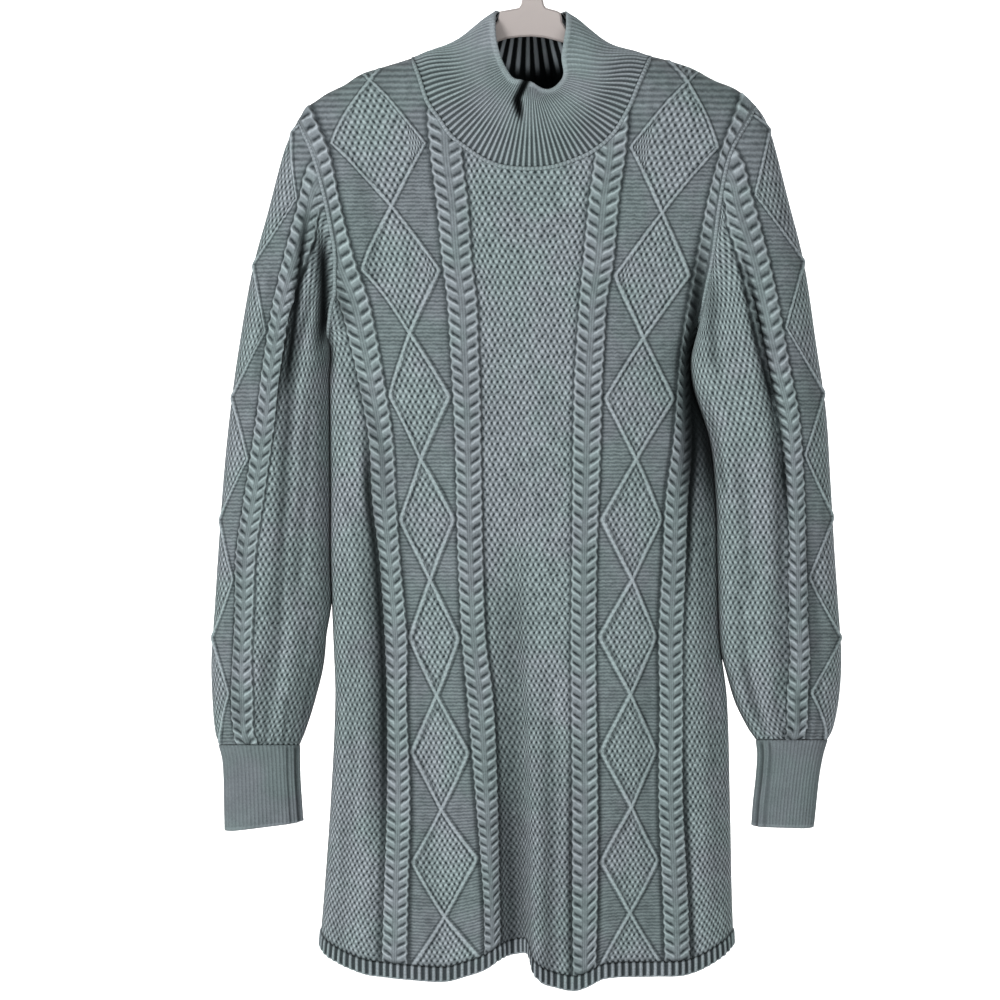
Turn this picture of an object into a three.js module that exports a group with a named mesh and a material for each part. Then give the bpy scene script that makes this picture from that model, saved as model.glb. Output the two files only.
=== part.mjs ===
// Knitted sweater dress hanging on a moulded hanger.
// Millimetres. X to the viewer's right, Z up, the front of the dress faces -Y.
// Origin: the seat of the hanger hook, where it rests on a rail.
import * as THREE from 'three';

// ---------------------------------------------------------------- sizes (mm)
const WALL = 3;             // thickness of the relief knit
const GAP = 0.3;            // clearance between two pieces at a seam
const HEM_GAP = 0.7;        // drop between a panel and its hem band, where the hem is steep
const PLANE_GAP = 0.2;      // each panel ends this far from the plane Y = 0
const PIT_Z = -374;         // height of the armpits
const HEM_BAND = 12.8;      // height of the ribbed hem band
const SHOULDER_ROLL = 50;   // the front rolls over the shoulder within this drop
const ARMHOLE_DEPTH = 30;   // half the front-to-back depth of an armhole
const SECTION_POWER = 2.6;  // roundness of the body and sleeve sections
const EDGE_TURN = 1.7;      // the side strips turn away towards the side seams
const HANGER_THICK = 12;
const HANGER_BEVEL = 1.6;

const UPPER_ROWS = 8;       // rows from the shoulder line to the armpit
const LOWER_ROWS = 11;      // rows from the armpit to the hem seam
const COLLAR_ROWS = 4;

// Knitted lines that run down the body, numbered from the viewer's left:
// 0 and 9 side seams, 1-2, 3-4, 5-6 and 7-8 the edges of the four cables,
// 2.5 and 6.5 the points where the diamond lines cross.
const LINE_KEYS = [0, 1, 2, 2.5, 3, 4, 5, 6, 6.5, 7, 8, 9];
// columns: z, then the x of each line above
const LINES = [
  [-114.4, -277.2, -246.4, -202.4, -146.1, -73.9, -48.4, 47.5, 73.9, 144.3, 195.4, 237.6, 264.0],
  [-161.9, -255.2, -229.7, -192.7, -137.3, -90.6, -56.3, 53.7, 86.7, 135.1, 182.2, 217.4, 237.6],
  [-202.4, -235.8, -208.6, -176.0, -129.4, -88.9, -59.0, 56.3, 85.4, 126.7, 167.6, 187.0, 206.8],
  [-246.4, -224.4, -193.2, -166.8, -122.8, -83.6, -53.7, 51.0, 79.2, 118.4, 155.8, 178.6, 199.8],
  [-299.2, -211.2, -184.8, -153.1, -114.8, -78.3, -50.2, 45.8, 74.8, 110.0, 145.6, 174.7, 189.2],
  [-334.4, -198.0, -169.8, -140.8, -110.0, -73.9, -45.8, 42.7, 68.6, 104.7, 139.0, 164.6, 173.4],
  [-374.0, -178.2, -159.3, -132.9, -104.7, -71.3, -44.4, 40.0, 66.4, 99.4, 133.3, 143.4, 146.1],
  [-404.8, -177.8, -152.2, -127.6, -102.1, -69.5, -43.1, 38.3, 64.7, 97.2, 130.2, 141.2, 143.9],
  [-457.6, -177.3, -142.9, -119.7, -97.7, -66.9, -42.2, 37.0, 63.4, 94.2, 125.8, 143.4, 159.7],
  [-510.4, -176.9, -139.9, -117.0, -92.8, -65.6, -41.4, 36.5, 61.6, 92.4, 118.8, 139.9, 165.0],
  [-563.2, -176.9, -133.3, -113.5, -88.9, -64.2, -40.5, 36.1, 59.8, 90.6, 116.2, 138.2, 166.3],
  [-633.6, -174.2, -128.5, -107.4, -84.5, -60.7, -37.8, 35.2, 59.0, 88.9, 112.6, 135.5, 168.5],
  [-686.4, -172.5, -126.7, -107.8, -81.8, -55.9, -31.2, 35.6, 59.4, 88.4, 113.5, 135.5, 174.7],
  [-774.4, -176.4, -126.7, -104.7, -78.3, -48.4, -27.7, 36.1, 60.7, 89.3, 112.6, 135.5, 177.3],
  [-862.4, -182.6, -129.4, -106.5, -75.7, -41.4, -26.4, 36.5, 60.3, 88.0, 116.2, 139.9, 179.1],
  [-915.2, -187.4, -131.1, -107.4, -73.9, -40.5, -25.1, 37.0, 59.0, 87.1, 117.9, 141.7, 181.3],
];
// columns: z, knitted line met by the armhole seam at that height
const ARMHOLE_LEFT = [[-374, 0], [-365.2, 0.4], [-352, 0.68], [-334.4, 0.925], [-316.8, 1.2], [-301, 1.42], [-286, 1.5], [-175.1, 1.5]];
const ARMHOLE_RIGHT = [[-374, 9], [-370.5, 8.45], [-365.2, 8], [-352, 7.65], [-334.4, 7.53], [-321.2, 7.5], [-161.9, 7.5]];
const TIP_LEFT_Z = -175.1;
const TIP_RIGHT_Z = -161.9;

// columns: x, z of the shoulder line, carried on across the neck
const SHOULDER = [[-215.6, -183], [-205.9, -175.1], [-198, -163.7], [-189.2, -157.5], [-180.4, -151.4], [-171.6, -147], [-162.8, -142.6],
  [-154, -136.4], [-145.2, -132], [-136.4, -129.4], [-118.8, -124.1], [-104.2, -119.7], [-79.2, -114.4], [0, -110.9],
  [79.2, -113.5], [106.8, -117.9], [127.6, -123.2], [145.2, -129.4], [162.8, -139], [180.4, -146.1], [189.2, -152.2],
  [199.8, -161.9], [211.2, -177.8]];
// columns: x, z of the neckline seam
const NECK_FRONT = [[-104.2, -119.7], [-97.7, -136.8], [-90.6, -158.4], [-80.1, -174.2], [-69.5, -189.2], [-56.3, -199.8], [-42.2, -209.4],
  [-24.6, -216.5], [-2.6, -218.6], [16.7, -217.4], [35.2, -212.1], [54.6, -203.3], [73, -187.4], [87.1, -163.7], [95.9, -142.6], [106.8, -117.9]];
const NECK_BACK = [[-104.2, -119.7], [-96.8, -130.2], [-84.5, -139.9], [-61.6, -148.7], [-30.8, -153.1], [0, -154.4], [31.7, -153.1],
  [63.4, -148.7], [86.2, -139.9], [98.6, -130.2], [106.8, -117.9]];
// columns: x, z of the bottom edge
const HEM_FRONT = [[-189.2, -895.8], [-187.4, -901.1], [-184.8, -907.3], [-180.4, -912.6], [-171.6, -917.8], [-162.8, -922.2], [-145.2, -928.4],
  [-127.6, -931], [-110, -932.8], [-74.8, -934.6], [-57.2, -930.2], [-39.6, -924], [-22, -913.4], [-10.6, -909.9], [-3.5, -909.9],
  [-0.9, -915.2], [1.8, -926.6], [6.2, -931.9], [13.2, -936.3], [26.4, -940.7], [39.6, -942.5], [50.2, -939.4], [66, -931.9],
  [110, -930.2], [136.4, -929.3], [154, -923.1], [171.6, -912.6], [178.6, -905.5], [182.2, -901.1]];
const HEM_BACK = [[-189.2, -895.8], [-187.4, -901.1], [-167.2, -907.3], [-132, -912.6], [-88, -914.3], [-52.8, -910.8], [-17.6, -904.6],
  [17.6, -909], [61.6, -916.1], [105.6, -917], [140.8, -912.6], [167.2, -906.4], [182.2, -901.1]];

// columns: z, half the front-to-back depth of the body
const BODY_DEPTH = [[-942, 50], [-800, 48], [-650, 45], [-500, 43], [-374, 41], [-250, 39], [-110, 38]];

// Long folds of the body. line: the knitted line it follows, shift: mm beside it,
// top/full: heights where it starts and is full, end: where it fades (0 = runs to the hem),
// depth: mm (minus stands proud), width: mm
const FOLDS_FRONT = [
  { line: 1, shift: -3, top: -500, full: -640, end: 0, depth: 6, width: 9 },
  { line: 4, shift: 11, top: -620, full: -880, end: 0, depth: 15, width: 11 },
  { line: 4.5, shift: 2, top: -660, full: -890, end: 0, depth: -7, width: 12 },
  { line: 5, shift: -1, top: -760, full: -860, end: 0, depth: 3, width: 5 },
  { line: 8, shift: 4, top: -330, full: -390, end: -640, depth: 6, width: 8 },
  { line: 8, shift: 3, top: -720, full: -820, end: 0, depth: 4, width: 8 },
  { line: 2.5, shift: 6, top: -700, full: -860, end: 0, depth: 4, width: 22 },
  { line: 6.5, shift: 4, top: -640, full: -860, end: 0, depth: 4, width: 20 },
];
const FOLDS_BACK = [
  { line: 1.4, shift: 0, top: -560, full: -800, end: 0, depth: 9, width: 13 },
  { line: 3.6, shift: 4, top: -480, full: -780, end: 0, depth: 8, width: 16 },
  { line: 4.7, shift: 0, top: -640, full: -860, end: 0, depth: -6, width: 16 },
  { line: 5.6, shift: 6, top: -600, full: -840, end: 0, depth: 12, width: 14 },
  { line: 7.7, shift: 0, top: -520, full: -820, end: 0, depth: 7, width: 14 },
];

// Collar rim. columns: place (0 front middle, 1 shoulder, 2 back middle), x, z, y
const RIM_LEFT = [[0, 0.4, -142.6, -41], [0.2, -5.3, -140.8, -41], [0.4, -14.1, -139, -40], [0.6, -19.8, -132, -37], [0.8, -25.1, -121.4, -31],
  [0.9, -28.2, -110.9, -25], [1, -30.4, -99.4, -18], [1.15, -31.2, -88, -12], [1.3, -30.8, -79.2, 1], [1.5, -27.3, -78.3, 14],
  [1.75, -16.7, -82.7, 26], [2, 0, -87.1, 31]];
const RIM_RIGHT = [[0, 0.4, -142.6, -41], [0.2, 7, -147.8, -41], [0.4, 16.7, -148.7, -41], [0.6, 24.6, -143.9, -38], [0.8, 29.5, -134.6, -32],
  [0.9, 27.7, -120.6, -26], [1, 29.9, -106.5, -19], [1.15, 32.6, -92.4, -12], [1.3, 32.6, -80.1, 1], [1.5, 29, -79.2, 14],
  [1.75, 16.7, -82.7, 26], [2, 0, -87.1, 31]];
// How the collar wall bows between its seam and its rim. columns: place, up, outwards
const COLLAR_BOW = [[0, 0, 4], [0.6, 0, 4], [0.9, 0, 2], [1, 0, 0], [1.15, 3.5, 0], [1.3, 6, 1], [1.5, 3, 3], [2, 0, 4]];

// Sleeve sections from the armhole to the cuff. columns: outer x, outer z, inner x, inner z,
// half depth, how far the middle leans towards the body
const SLEEVE_LEFT = [
  [-205.9, -175.1, -178.2, -374.0, 30, 0],
  [-217.4, -202.4, -179.3, -381.0, 32, 15],
  [-231.4, -255.2, -179.5, -389.8, 34, 7.9],
  [-245.5, -308.0, -179.5, -406.6, 35.5, 2.6],
  [-257.0, -374.0, -179.5, -433.0, 36, 0],
  [-264.9, -431.2, -179.5, -468.2, 36, 0],
  [-271.0, -492.8, -179.5, -514.8, 36, 0],
  [-275.4, -554.4, -179.3, -565.0, 36, 0],
  [-278.5, -602.8, -178.6, -607.2, 36, 0],
  [-281.6, -651.2, -180.8, -651.2, 34.5, 0],
  [-280.7, -686.4, -188.8, -686.4, 31, 0],
  [-278.5, -712.8, -197.1, -712.8, 25, 0],
  [-275.0, -726.9, -202.8, -726.9, 18, 0],
];
const SLEEVE_RIGHT = [
  [199.8, -161.9, 146.1, -374.0, 30, 0],
  [212.1, -183.0, 148.3, -381.0, 32, -15],
  [228.8, -246.4, 148.0, -390.7, 34, -7.9],
  [242.9, -303.6, 147.8, -407.4, 35.5, -2.6],
  [253.4, -374.0, 153.6, -433.0, 36, 0],
  [261.8, -431.2, 165.0, -463.8, 36, 0],
  [265.8, -492.8, 168.5, -510.4, 36, 0],
  [269.3, -554.4, 170.5, -561.4, 36, 0],
  [272.6, -602.8, 169.8, -607.2, 36, 0],
  [275.4, -646.8, 173.4, -646.8, 34.5, 0],
  [273.7, -682.0, 178.2, -682.0, 31, 0],
  [268.8, -709.3, 190.5, -709.3, 25, 0],
  [263.1, -722.5, 199.3, -722.5, 18, 0],
];
const CUFF_LEFT = [
  [-275.0, -726.9, -202.8, -726.9, 18, 0],
  [-271.9, -739.2, -202.8, -739.2, 15, 0],
  [-270.6, -756.8, -202.4, -756.8, 13.5, 0],
  [-270.2, -778.8, -200.8, -778.8, 13, 0],
  [-269.7, -800.4, -199.8, -791.6, 12.5, 0],
];
const CUFF_RIGHT = [
  [263.1, -722.5, 199.3, -722.5, 18, 0],
  [259.2, -735.7, 200.6, -735.7, 15, 0],
  [255.6, -755.0, 199.3, -755.0, 13.5, 0],
  [253.0, -777.0, 196.7, -777.0, 13, 0],
  [250.8, -797.3, 195.4, -795.5, 12.5, 0],
];
// Long creases of the sleeves. side: share of the way from the outer to the inner edge,
// top/full/end: section numbers, depth and width in mm
const CREASE_LEFT = [{ side: 0.56, top: 1, full: 3, end: 12, depth: 7, width: 11 }];
const CREASE_RIGHT = [{ side: 0.5, top: 2, full: 4, end: 12, depth: 7, width: 11 }];

// Hanger outline, one side each, from the stem down over the arm and back along
// its underside. columns: x, z
const HANGER_LEFT = [[-7.6, -70.4], [-7.9, -73], [-9.7, -75.7], [-17.6, -77.2], [-26.4, -78.8], [-27.1, -82], [-28.6, -87.2], [-35.2, -95],
  [-44, -103], [-55.4, -110.4], [-68.6, -116.2], [-81, -121], [-98.6, -125.8], [-114.4, -130.2], [-132, -135.8], [-144.3, -140.2], [-156.6, -147.4],
  [-169, -154.2], [-179.5, -161], [-186.6, -168], [-190.1, -176], [-186.6, -183], [-177.8, -182.2], [-162.8, -172.5], [-140.8, -161],
  [-114.4, -149.6], [-88, -138.2], [-68.6, -127.6], [-51, -116.2], [-40.5, -109.6], [-28.2, -105.6], [-20.2, -103], [-8.8, -101.4], [1.8, -101]];
const HANGER_RIGHT = [[12.1, -70.4], [12.5, -73], [14.3, -75.7], [23.8, -78.3], [27.4, -80.3], [27.9, -83.2], [28.6, -88.4], [34.4, -96.8],
  [43.4, -104.8], [57.2, -110], [70.4, -116.2], [84.5, -121], [100.3, -125.2], [116.2, -129.6], [133.8, -134.8], [146.1, -140],
  [160.2, -148], [172.5, -154.2], [181.3, -160], [186.6, -166], [188.6, -172.6], [186, -178.6], [178.6, -177.8], [163.7, -169.8], [142.6, -160.2],
  [116.2, -148.7], [89.8, -138.2], [70.4, -127.6], [54.6, -117], [44, -110], [28.2, -106], [20.2, -103.8], [13.2, -102.1]];
// Hook: a bent bar. columns: x, z of its middle line from the stem to the tip, width
const HOOK_RADIUS = 19;
const HOOK_WIDTH = 8;
const STEM = [[2.2, -66, 16.5], [2.4, -60, 12.5], [3.2, -53, 9.6], [6, -46, 8.4]];
const HOOK_ARC = { from: -52, to: 205, steps: 20 };

const CLOTH = new THREE.Color(0.178, 0.216, 0.228);
const CLOTH_DARK = new THREE.Color(0.165, 0.2, 0.212);
const PLASTIC = new THREE.Color(0.49, 0.448, 0.423);

// ------------------------------------------------------------ small helpers
const lerp = (a, b, f) => a + (b - a) * f;
const clamp01 = (f) => Math.min(1, Math.max(0, f));
const smooth = (f) => { const c = clamp01(f); return c * c * (3 - 2 * c); };

function straight(table, x, col = 1) {
  const up = table[table.length - 1][0] > table[0][0];
  const rows = up ? table : [...table].reverse();
  if (x <= rows[0][0]) return rows[0][col];
  for (let i = 1; i < rows.length; i++) {
    if (x <= rows[i][0]) return lerp(rows[i - 1][col], rows[i][col], (x - rows[i - 1][0]) / (rows[i][0] - rows[i - 1][0]));
  }
  return rows[rows.length - 1][col];
}

// smooth curve through the rows of a table, by its first column
function curve(table, x, col) {
  const up = table[table.length - 1][0] > table[0][0];
  const n = table.length;
  const at = (i) => (up ? table[i] : table[n - 1 - i]);
  const v = Math.min(at(n - 1)[0], Math.max(at(0)[0], x));
  let i = 0;
  while (i < n - 2 && v > at(i + 1)[0]) i++;
  const slope = (k) => {
    const a = at(Math.max(0, k - 1));
    const b = at(Math.min(n - 1, k + 1));
    return (b[col] - a[col]) / (b[0] - a[0]);
  };
  const p = at(i);
  const q = at(i + 1);
  const h = q[0] - p[0];
  const f = (v - p[0]) / h;
  const f2 = f * f;
  const f3 = f2 * f;
  return (2 * f3 - 3 * f2 + 1) * p[col] + (f3 - 2 * f2 + f) * h * slope(i) + (3 * f2 - 2 * f3) * q[col] + (f3 - f2) * h * slope(i + 1);
}

// ------------------------------------------------------------- body surface
function lineX(line, z) {
  let k = 0;
  while (k < LINE_KEYS.length - 2 && line > LINE_KEYS[k + 1]) k++;
  let f = clamp01((line - LINE_KEYS[k]) / (LINE_KEYS[k + 1] - LINE_KEYS[k]));
  if (k === 0) f = f ** EDGE_TURN;
  if (k === LINE_KEYS.length - 2) f = 1 - (1 - f) ** EDGE_TURN;
  return lerp(curve(LINES, z, k + 1), curve(LINES, z, k + 2), f);
}

const edgeLeft = (z) => (z <= PIT_Z ? 0 : straight(ARMHOLE_LEFT, z));
const edgeRight = (z) => (z <= PIT_Z ? 9 : straight(ARMHOLE_RIGHT, z));

function strand(c, z) {
  if (z <= PIT_Z) return c;
  if (c < 2) return lerp(edgeLeft(z), 2, c / 2);
  if (c > 7) return lerp(edgeRight(z), 7, (9 - c) / 2);
  return c;
}

const bodyX = (c, z) => lineX(strand(c, z), z);

function armDepth(z, tip) {
  const f = (tip - z) / (tip - PIT_Z);
  return f <= 0 || f >= 1 ? 0 : ARMHOLE_DEPTH * Math.sqrt(1 - (1 - 2 * f) ** 2);
}

function foldDepth(folds, x, z) {
  let sum = 0;
  for (const fold of folds) {
    let grow = smooth((fold.top - z) / (fold.top - fold.full));
    if (fold.end) grow *= 1 - smooth((fold.full - z) / (fold.full - fold.end));
    if (grow > 0) sum += fold.depth * grow * Math.exp(-(((x - lineX(fold.line, z) - fold.shift) / fold.width) ** 2));
  }
  return sum;
}

// distance of the cloth from the plane Y = 0
function bodyDepth(c, z, folds) {
  const x = bodyX(c, z);
  const left = lineX(edgeLeft(z), z);
  const right = lineX(edgeRight(z), z);
  const t = (2 * x - left - right) / (right - left);
  const round = (1 - Math.min(1, Math.abs(t)) ** SECTION_POWER) ** (1 / SECTION_POWER);
  const drop = (straight(SHOULDER, x) - z) / SHOULDER_ROLL;
  const roll = drop >= 1 ? 1 : Math.sqrt(Math.max(0, 1 - (1 - Math.max(0, drop)) ** 2));
  const arm = lerp(armDepth(z, TIP_LEFT_Z), armDepth(z, TIP_RIGHT_Z), clamp01((1 + t) / 2));
  const full = (straight(BODY_DEPTH, z) - foldDepth(folds, x, z)) * roll;
  return Math.max(PLANE_GAP, full * round + Math.min(arm, full) * (1 - round) ** 1.5);
}

// height where a column meets the shoulder line or the neckline
function topZ(c, neck) {
  let hi = -104;
  let lo = -250;
  const over = (z) => {
    const x = bodyX(c, z);
    const inNeck = x > neck[0][0] && x < neck[neck.length - 1][0];
    return z - straight(inNeck ? neck : SHOULDER, x);
  };
  for (let i = 0; i < 50; i++) {
    const mid = (hi + lo) / 2;
    if (over(mid) > 0) hi = mid; else lo = mid;
  }
  return (hi + lo) / 2;
}

function bottomZ(c, hem) {
  let z = -915;
  for (let i = 0; i < 6; i++) z = straight(hem, bodyX(c, z));
  return z;
}

// the columns that end at the two shoulder points of the neckline
function neckColumn(point, from, to) {
  let a = from;
  let b = to;
  for (let i = 0; i < 50; i++) {
    const mid = (a + b) / 2;
    if (bodyX(mid, point[1]) < point[0]) a = mid; else b = mid;
  }
  return (a + b) / 2;
}
const NECK_C_LEFT = neckColumn(NECK_FRONT[0], 2, 3);
const NECK_C_RIGHT = neckColumn(NECK_FRONT[NECK_FRONT.length - 1], 6, 7);
const NECK_COLUMNS = [NECK_C_LEFT, lerp(NECK_C_LEFT, 3, 0.5), 3, 3.5, 4, 4.25, 4.5, 4.75, 5, 5.5, 6, lerp(6, NECK_C_RIGHT, 0.5), NECK_C_RIGHT];
const COLUMNS = [0, 0.15, 0.4, 0.75, 1, 1.5, 2, 2.25, 2.5, ...NECK_COLUMNS, 6.5, 6.75, 7, 7.5, 8, 8.25, 8.6, 8.85, 9];
const FIRST_NECK = COLUMNS.indexOf(NECK_C_LEFT);
const LAST_NECK = COLUMNS.indexOf(NECK_C_RIGHT);
const share = (j, n) => (1 - Math.cos((Math.PI * j) / n)) / 2;

function bodyGrid(side, neck, hem, folds) {
  const rows = [];
  const seam = COLUMNS.map((c) => bottomZ(c, hem) + HEM_BAND);
  const top = COLUMNS.map((c, i) => (i === 0 ? TIP_LEFT_Z : i === COLUMNS.length - 1 ? TIP_RIGHT_Z : topZ(c, neck)));
  const point = (c, z, edge) => new THREE.Vector3(bodyX(c, z), side * (edge ? PLANE_GAP : bodyDepth(c, z, folds)), z);
  for (let j = 0; j <= UPPER_ROWS; j++) {
    rows.push(COLUMNS.map((c, i) => {
      const neckEdge = i > FIRST_NECK && i < LAST_NECK;
      const ends = i === 0 || i === COLUMNS.length - 1;
      const onPlane = (j === 0 && !neckEdge) || (j === UPPER_ROWS && ends);
      return point(c, lerp(top[i], PIT_Z, share(j, UPPER_ROWS)), onPlane);
    }));
  }
  for (let j = 1; j <= LOWER_ROWS; j++) {
    rows.push(COLUMNS.map((c, i) => point(c, lerp(PIT_Z, seam[i], j / LOWER_ROWS), i === 0 || i === COLUMNS.length - 1)));
  }
  const band = [seam, COLUMNS.map((c) => bottomZ(c, hem))].map((zs) => COLUMNS.map((c, i) => point(c, zs[i], i === 0 || i === COLUMNS.length - 1)));
  return { rows, band };
}

// ------------------------------------------------------------ sleeve surface
function tubeGrid(table, creases, side) {
  const n = UPPER_ROWS;
  return table.map(([ox, oz, ix, iz, depth, bow], r) => {
    const ring = [];
    for (let k = 0; k < 2 * n; k++) {
      const f = share(k <= n ? k : 2 * n - k, n);
      const wide = (1 - Math.abs(1 - 2 * f) ** 2.2) ** (1 / 2.2);
      const lean = bow * Math.sin(Math.PI * f) * smooth((0.98 - f) / 0.5);
      let deep = depth * wide;
      const front = k <= n;
      for (const crease of creases) {
        const grow = smooth((r - crease.top) / (crease.full - crease.top)) * (1 - 0.7 * smooth((r - crease.full) / (crease.end - crease.full)));
        const off = ((f - crease.side) * Math.hypot(ix - ox, iz - oz)) / crease.width;
        deep -= wide * (front ? 1 : 0.6) * crease.depth * grow * Math.exp(-off * off);
      }
      ring.push(new THREE.Vector3(lerp(ox, ix, f) + lean, (front ? -1 : 1) * deep * (k % n === 0 ? 0 : 1), lerp(oz, iz, f)));
    }
    return ring;
  });
}

// ------------------------------------------------------ thin walls from grids
// unit vectors from the outer side of the cloth to its inner side
function inwardOf(grid, closed, flip) {
  const m = grid.length;
  const n = grid[0].length;
  return grid.map((row, j) => row.map((p, i) => {
    const left = closed ? grid[j][(i + n - 1) % n] : grid[j][Math.max(0, i - 1)];
    const right = closed ? grid[j][(i + 1) % n] : grid[j][Math.min(n - 1, i + 1)];
    const up = grid[Math.max(0, j - 1)][i];
    const down = grid[Math.min(m - 1, j + 1)][i];
    const v = new THREE.Vector3().subVectors(right, left).cross(new THREE.Vector3().subVectors(down, up));
    if (v.length() < 1e-9) v.set(0, 0, -1);
    return v.normalize().multiplyScalar(flip);
  }));
}

function flatten(v) {
  v.y = 0;
  return v.normalize();
}

// closed mesh of the wall between the outer grid and the grid moved inwards;
// turned tells which cells of the first edge are split along their other diagonal
function wallGeometry(outer, inward, closed, turned = () => false) {
  const m = outer.length;
  const n = outer[0].length;
  const pos = [];
  for (const row of outer) for (const p of row) pos.push(p.x, p.y, p.z);
  outer.forEach((row, j) => row.forEach((p, i) => {
    const q = p.clone().addScaledVector(inward[j][i], WALL);
    pos.push(q.x, q.y, q.z);
  }));
  const index = [];
  const id = (layer, j, i) => layer * m * n + j * n + (closed ? (i + n) % n : i);
  const quad = (a, b, c, d) => index.push(a, b, c, a, c, d);
  const lastCell = closed ? n : n - 1;
  for (let j = 0; j < m - 1; j++) {
    for (let i = 0; i < lastCell; i++) {
      quad(id(0, j, i), id(0, j + 1, i), id(0, j + 1, i + 1), id(0, j, i + 1));
      quad(id(1, j, i), id(1, j, i + 1), id(1, j + 1, i + 1), id(1, j + 1, i));
    }
  }
  for (let i = 0; i < lastCell; i++) {
    if (turned(i)) quad(id(0, 0, i + 1), id(1, 0, i + 1), id(1, 0, i), id(0, 0, i));
    else quad(id(0, 0, i), id(0, 0, i + 1), id(1, 0, i + 1), id(1, 0, i));
    quad(id(0, m - 1, i + 1), id(0, m - 1, i), id(1, m - 1, i), id(1, m - 1, i + 1));
  }
  if (!closed) {
    for (let j = 0; j < m - 1; j++) {
      quad(id(0, j + 1, 0), id(0, j, 0), id(1, j, 0), id(1, j + 1, 0));
      quad(id(0, j, n - 1), id(0, j + 1, n - 1), id(1, j + 1, n - 1), id(1, j, n - 1));
    }
  }
  return solid(pos, index);
}

// gives the faces of a closed mesh one outward sense
function solid(pos, index) {
  let volume = 0;
  const a = new THREE.Vector3();
  const b = new THREE.Vector3();
  const c = new THREE.Vector3();
  for (let k = 0; k < index.length; k += 3) {
    a.fromArray(pos, index[k] * 3);
    b.fromArray(pos, index[k + 1] * 3);
    c.fromArray(pos, index[k + 2] * 3);
    volume += a.dot(b.cross(c)) / 6;
  }
  if (volume < 0) for (let k = 0; k < index.length; k += 3) [index[k], index[k + 1]] = [index[k + 1], index[k]];
  const geometry = new THREE.BufferGeometry();
  geometry.setAttribute('position', new THREE.Float32BufferAttribute(pos, 3));
  geometry.setIndex(index);
  geometry.computeVertexNormals();
  return geometry;
}

// moves the edge row of a grid a little into its own piece
function retreat(grid, row, next, amount) {
  grid[row].forEach((p, i) => {
    const way = new THREE.Vector3().subVectors(grid[next][i], p);
    if (way.length() > 1e-6) p.addScaledVector(way.normalize(), amount);
  });
}

// --------------------------------------------------------------- the pieces
const model = new THREE.Group();
function add(name, geometry, color, roughness = 0.95) {
  const mesh = new THREE.Mesh(geometry, new THREE.MeshStandardMaterial({ color, roughness, metalness: 0 }));
  mesh.name = name;
  model.add(mesh);
}

const front = bodyGrid(-1, NECK_FRONT, HEM_FRONT, FOLDS_FRONT);
const back = bodyGrid(1, NECK_BACK, HEM_BACK, FOLDS_BACK);
const frontIn = inwardOf(front.rows, false, 1);
const backIn = inwardOf(back.rows, false, -1);

const sleeves = [
  { name: 'left', table: SLEEVE_LEFT, cuff: CUFF_LEFT, creases: CREASE_LEFT, column: 0, flip: 1 },
  { name: 'right', table: SLEEVE_RIGHT, cuff: CUFF_RIGHT, creases: CREASE_RIGHT, column: COLUMNS.length - 1, flip: -1 },
];
for (const s of sleeves) {
  s.grid = tubeGrid(s.table, s.creases);
  // the first ring is the armhole edge of the two panels
  const n = UPPER_ROWS;
  for (let k = 0; k < 2 * n; k++) {
    const source = k <= n ? front.rows[k][s.column] : back.rows[2 * n - k][s.column];
    s.grid[0][k] = source.clone();
    if (k % n === 0) s.grid[0][k].y = 0;
  }
  s.inward = inwardOf(s.grid, true, s.flip);
  const middle = new THREE.Vector3();
  s.grid[0].forEach((p) => middle.addScaledVector(p, 1 / (2 * n)));
  for (let k = 0; k < 2 * n; k++) {
    const toMiddle = new THREE.Vector3(0, middle.y - s.grid[0][k].y, middle.z - s.grid[0][k].z).normalize();
    const panel = k <= n ? frontIn[k] : backIn[2 * n - k];
    const v = s.inward[0][k].clone().add(toMiddle);
    if (k % n === 0) flatten(v); else v.add(panel[s.column]).normalize();
    if (k === n) v.set(0, 0, 1);
    s.inward[0][k].copy(v);
    panel[s.column].copy(v);
    if (k === 0) backIn[0][s.column].copy(v);
    if (k === n) backIn[n][s.column].copy(v);
  }
}

// side seams and shoulder seams lie in the plane Y = 0
for (const grid of [frontIn, backIn]) {
  grid.forEach((row, j) => {
    if (j > UPPER_ROWS) {
      flatten(row[0]);
      flatten(row[row.length - 1]);
    }
  });
  grid[0].forEach((v, i) => { if (i <= FIRST_NECK || i >= LAST_NECK) { v.y = 0; if (v.length() < 0.2) v.set(0, 0, -1); v.normalize(); } });
}

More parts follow.
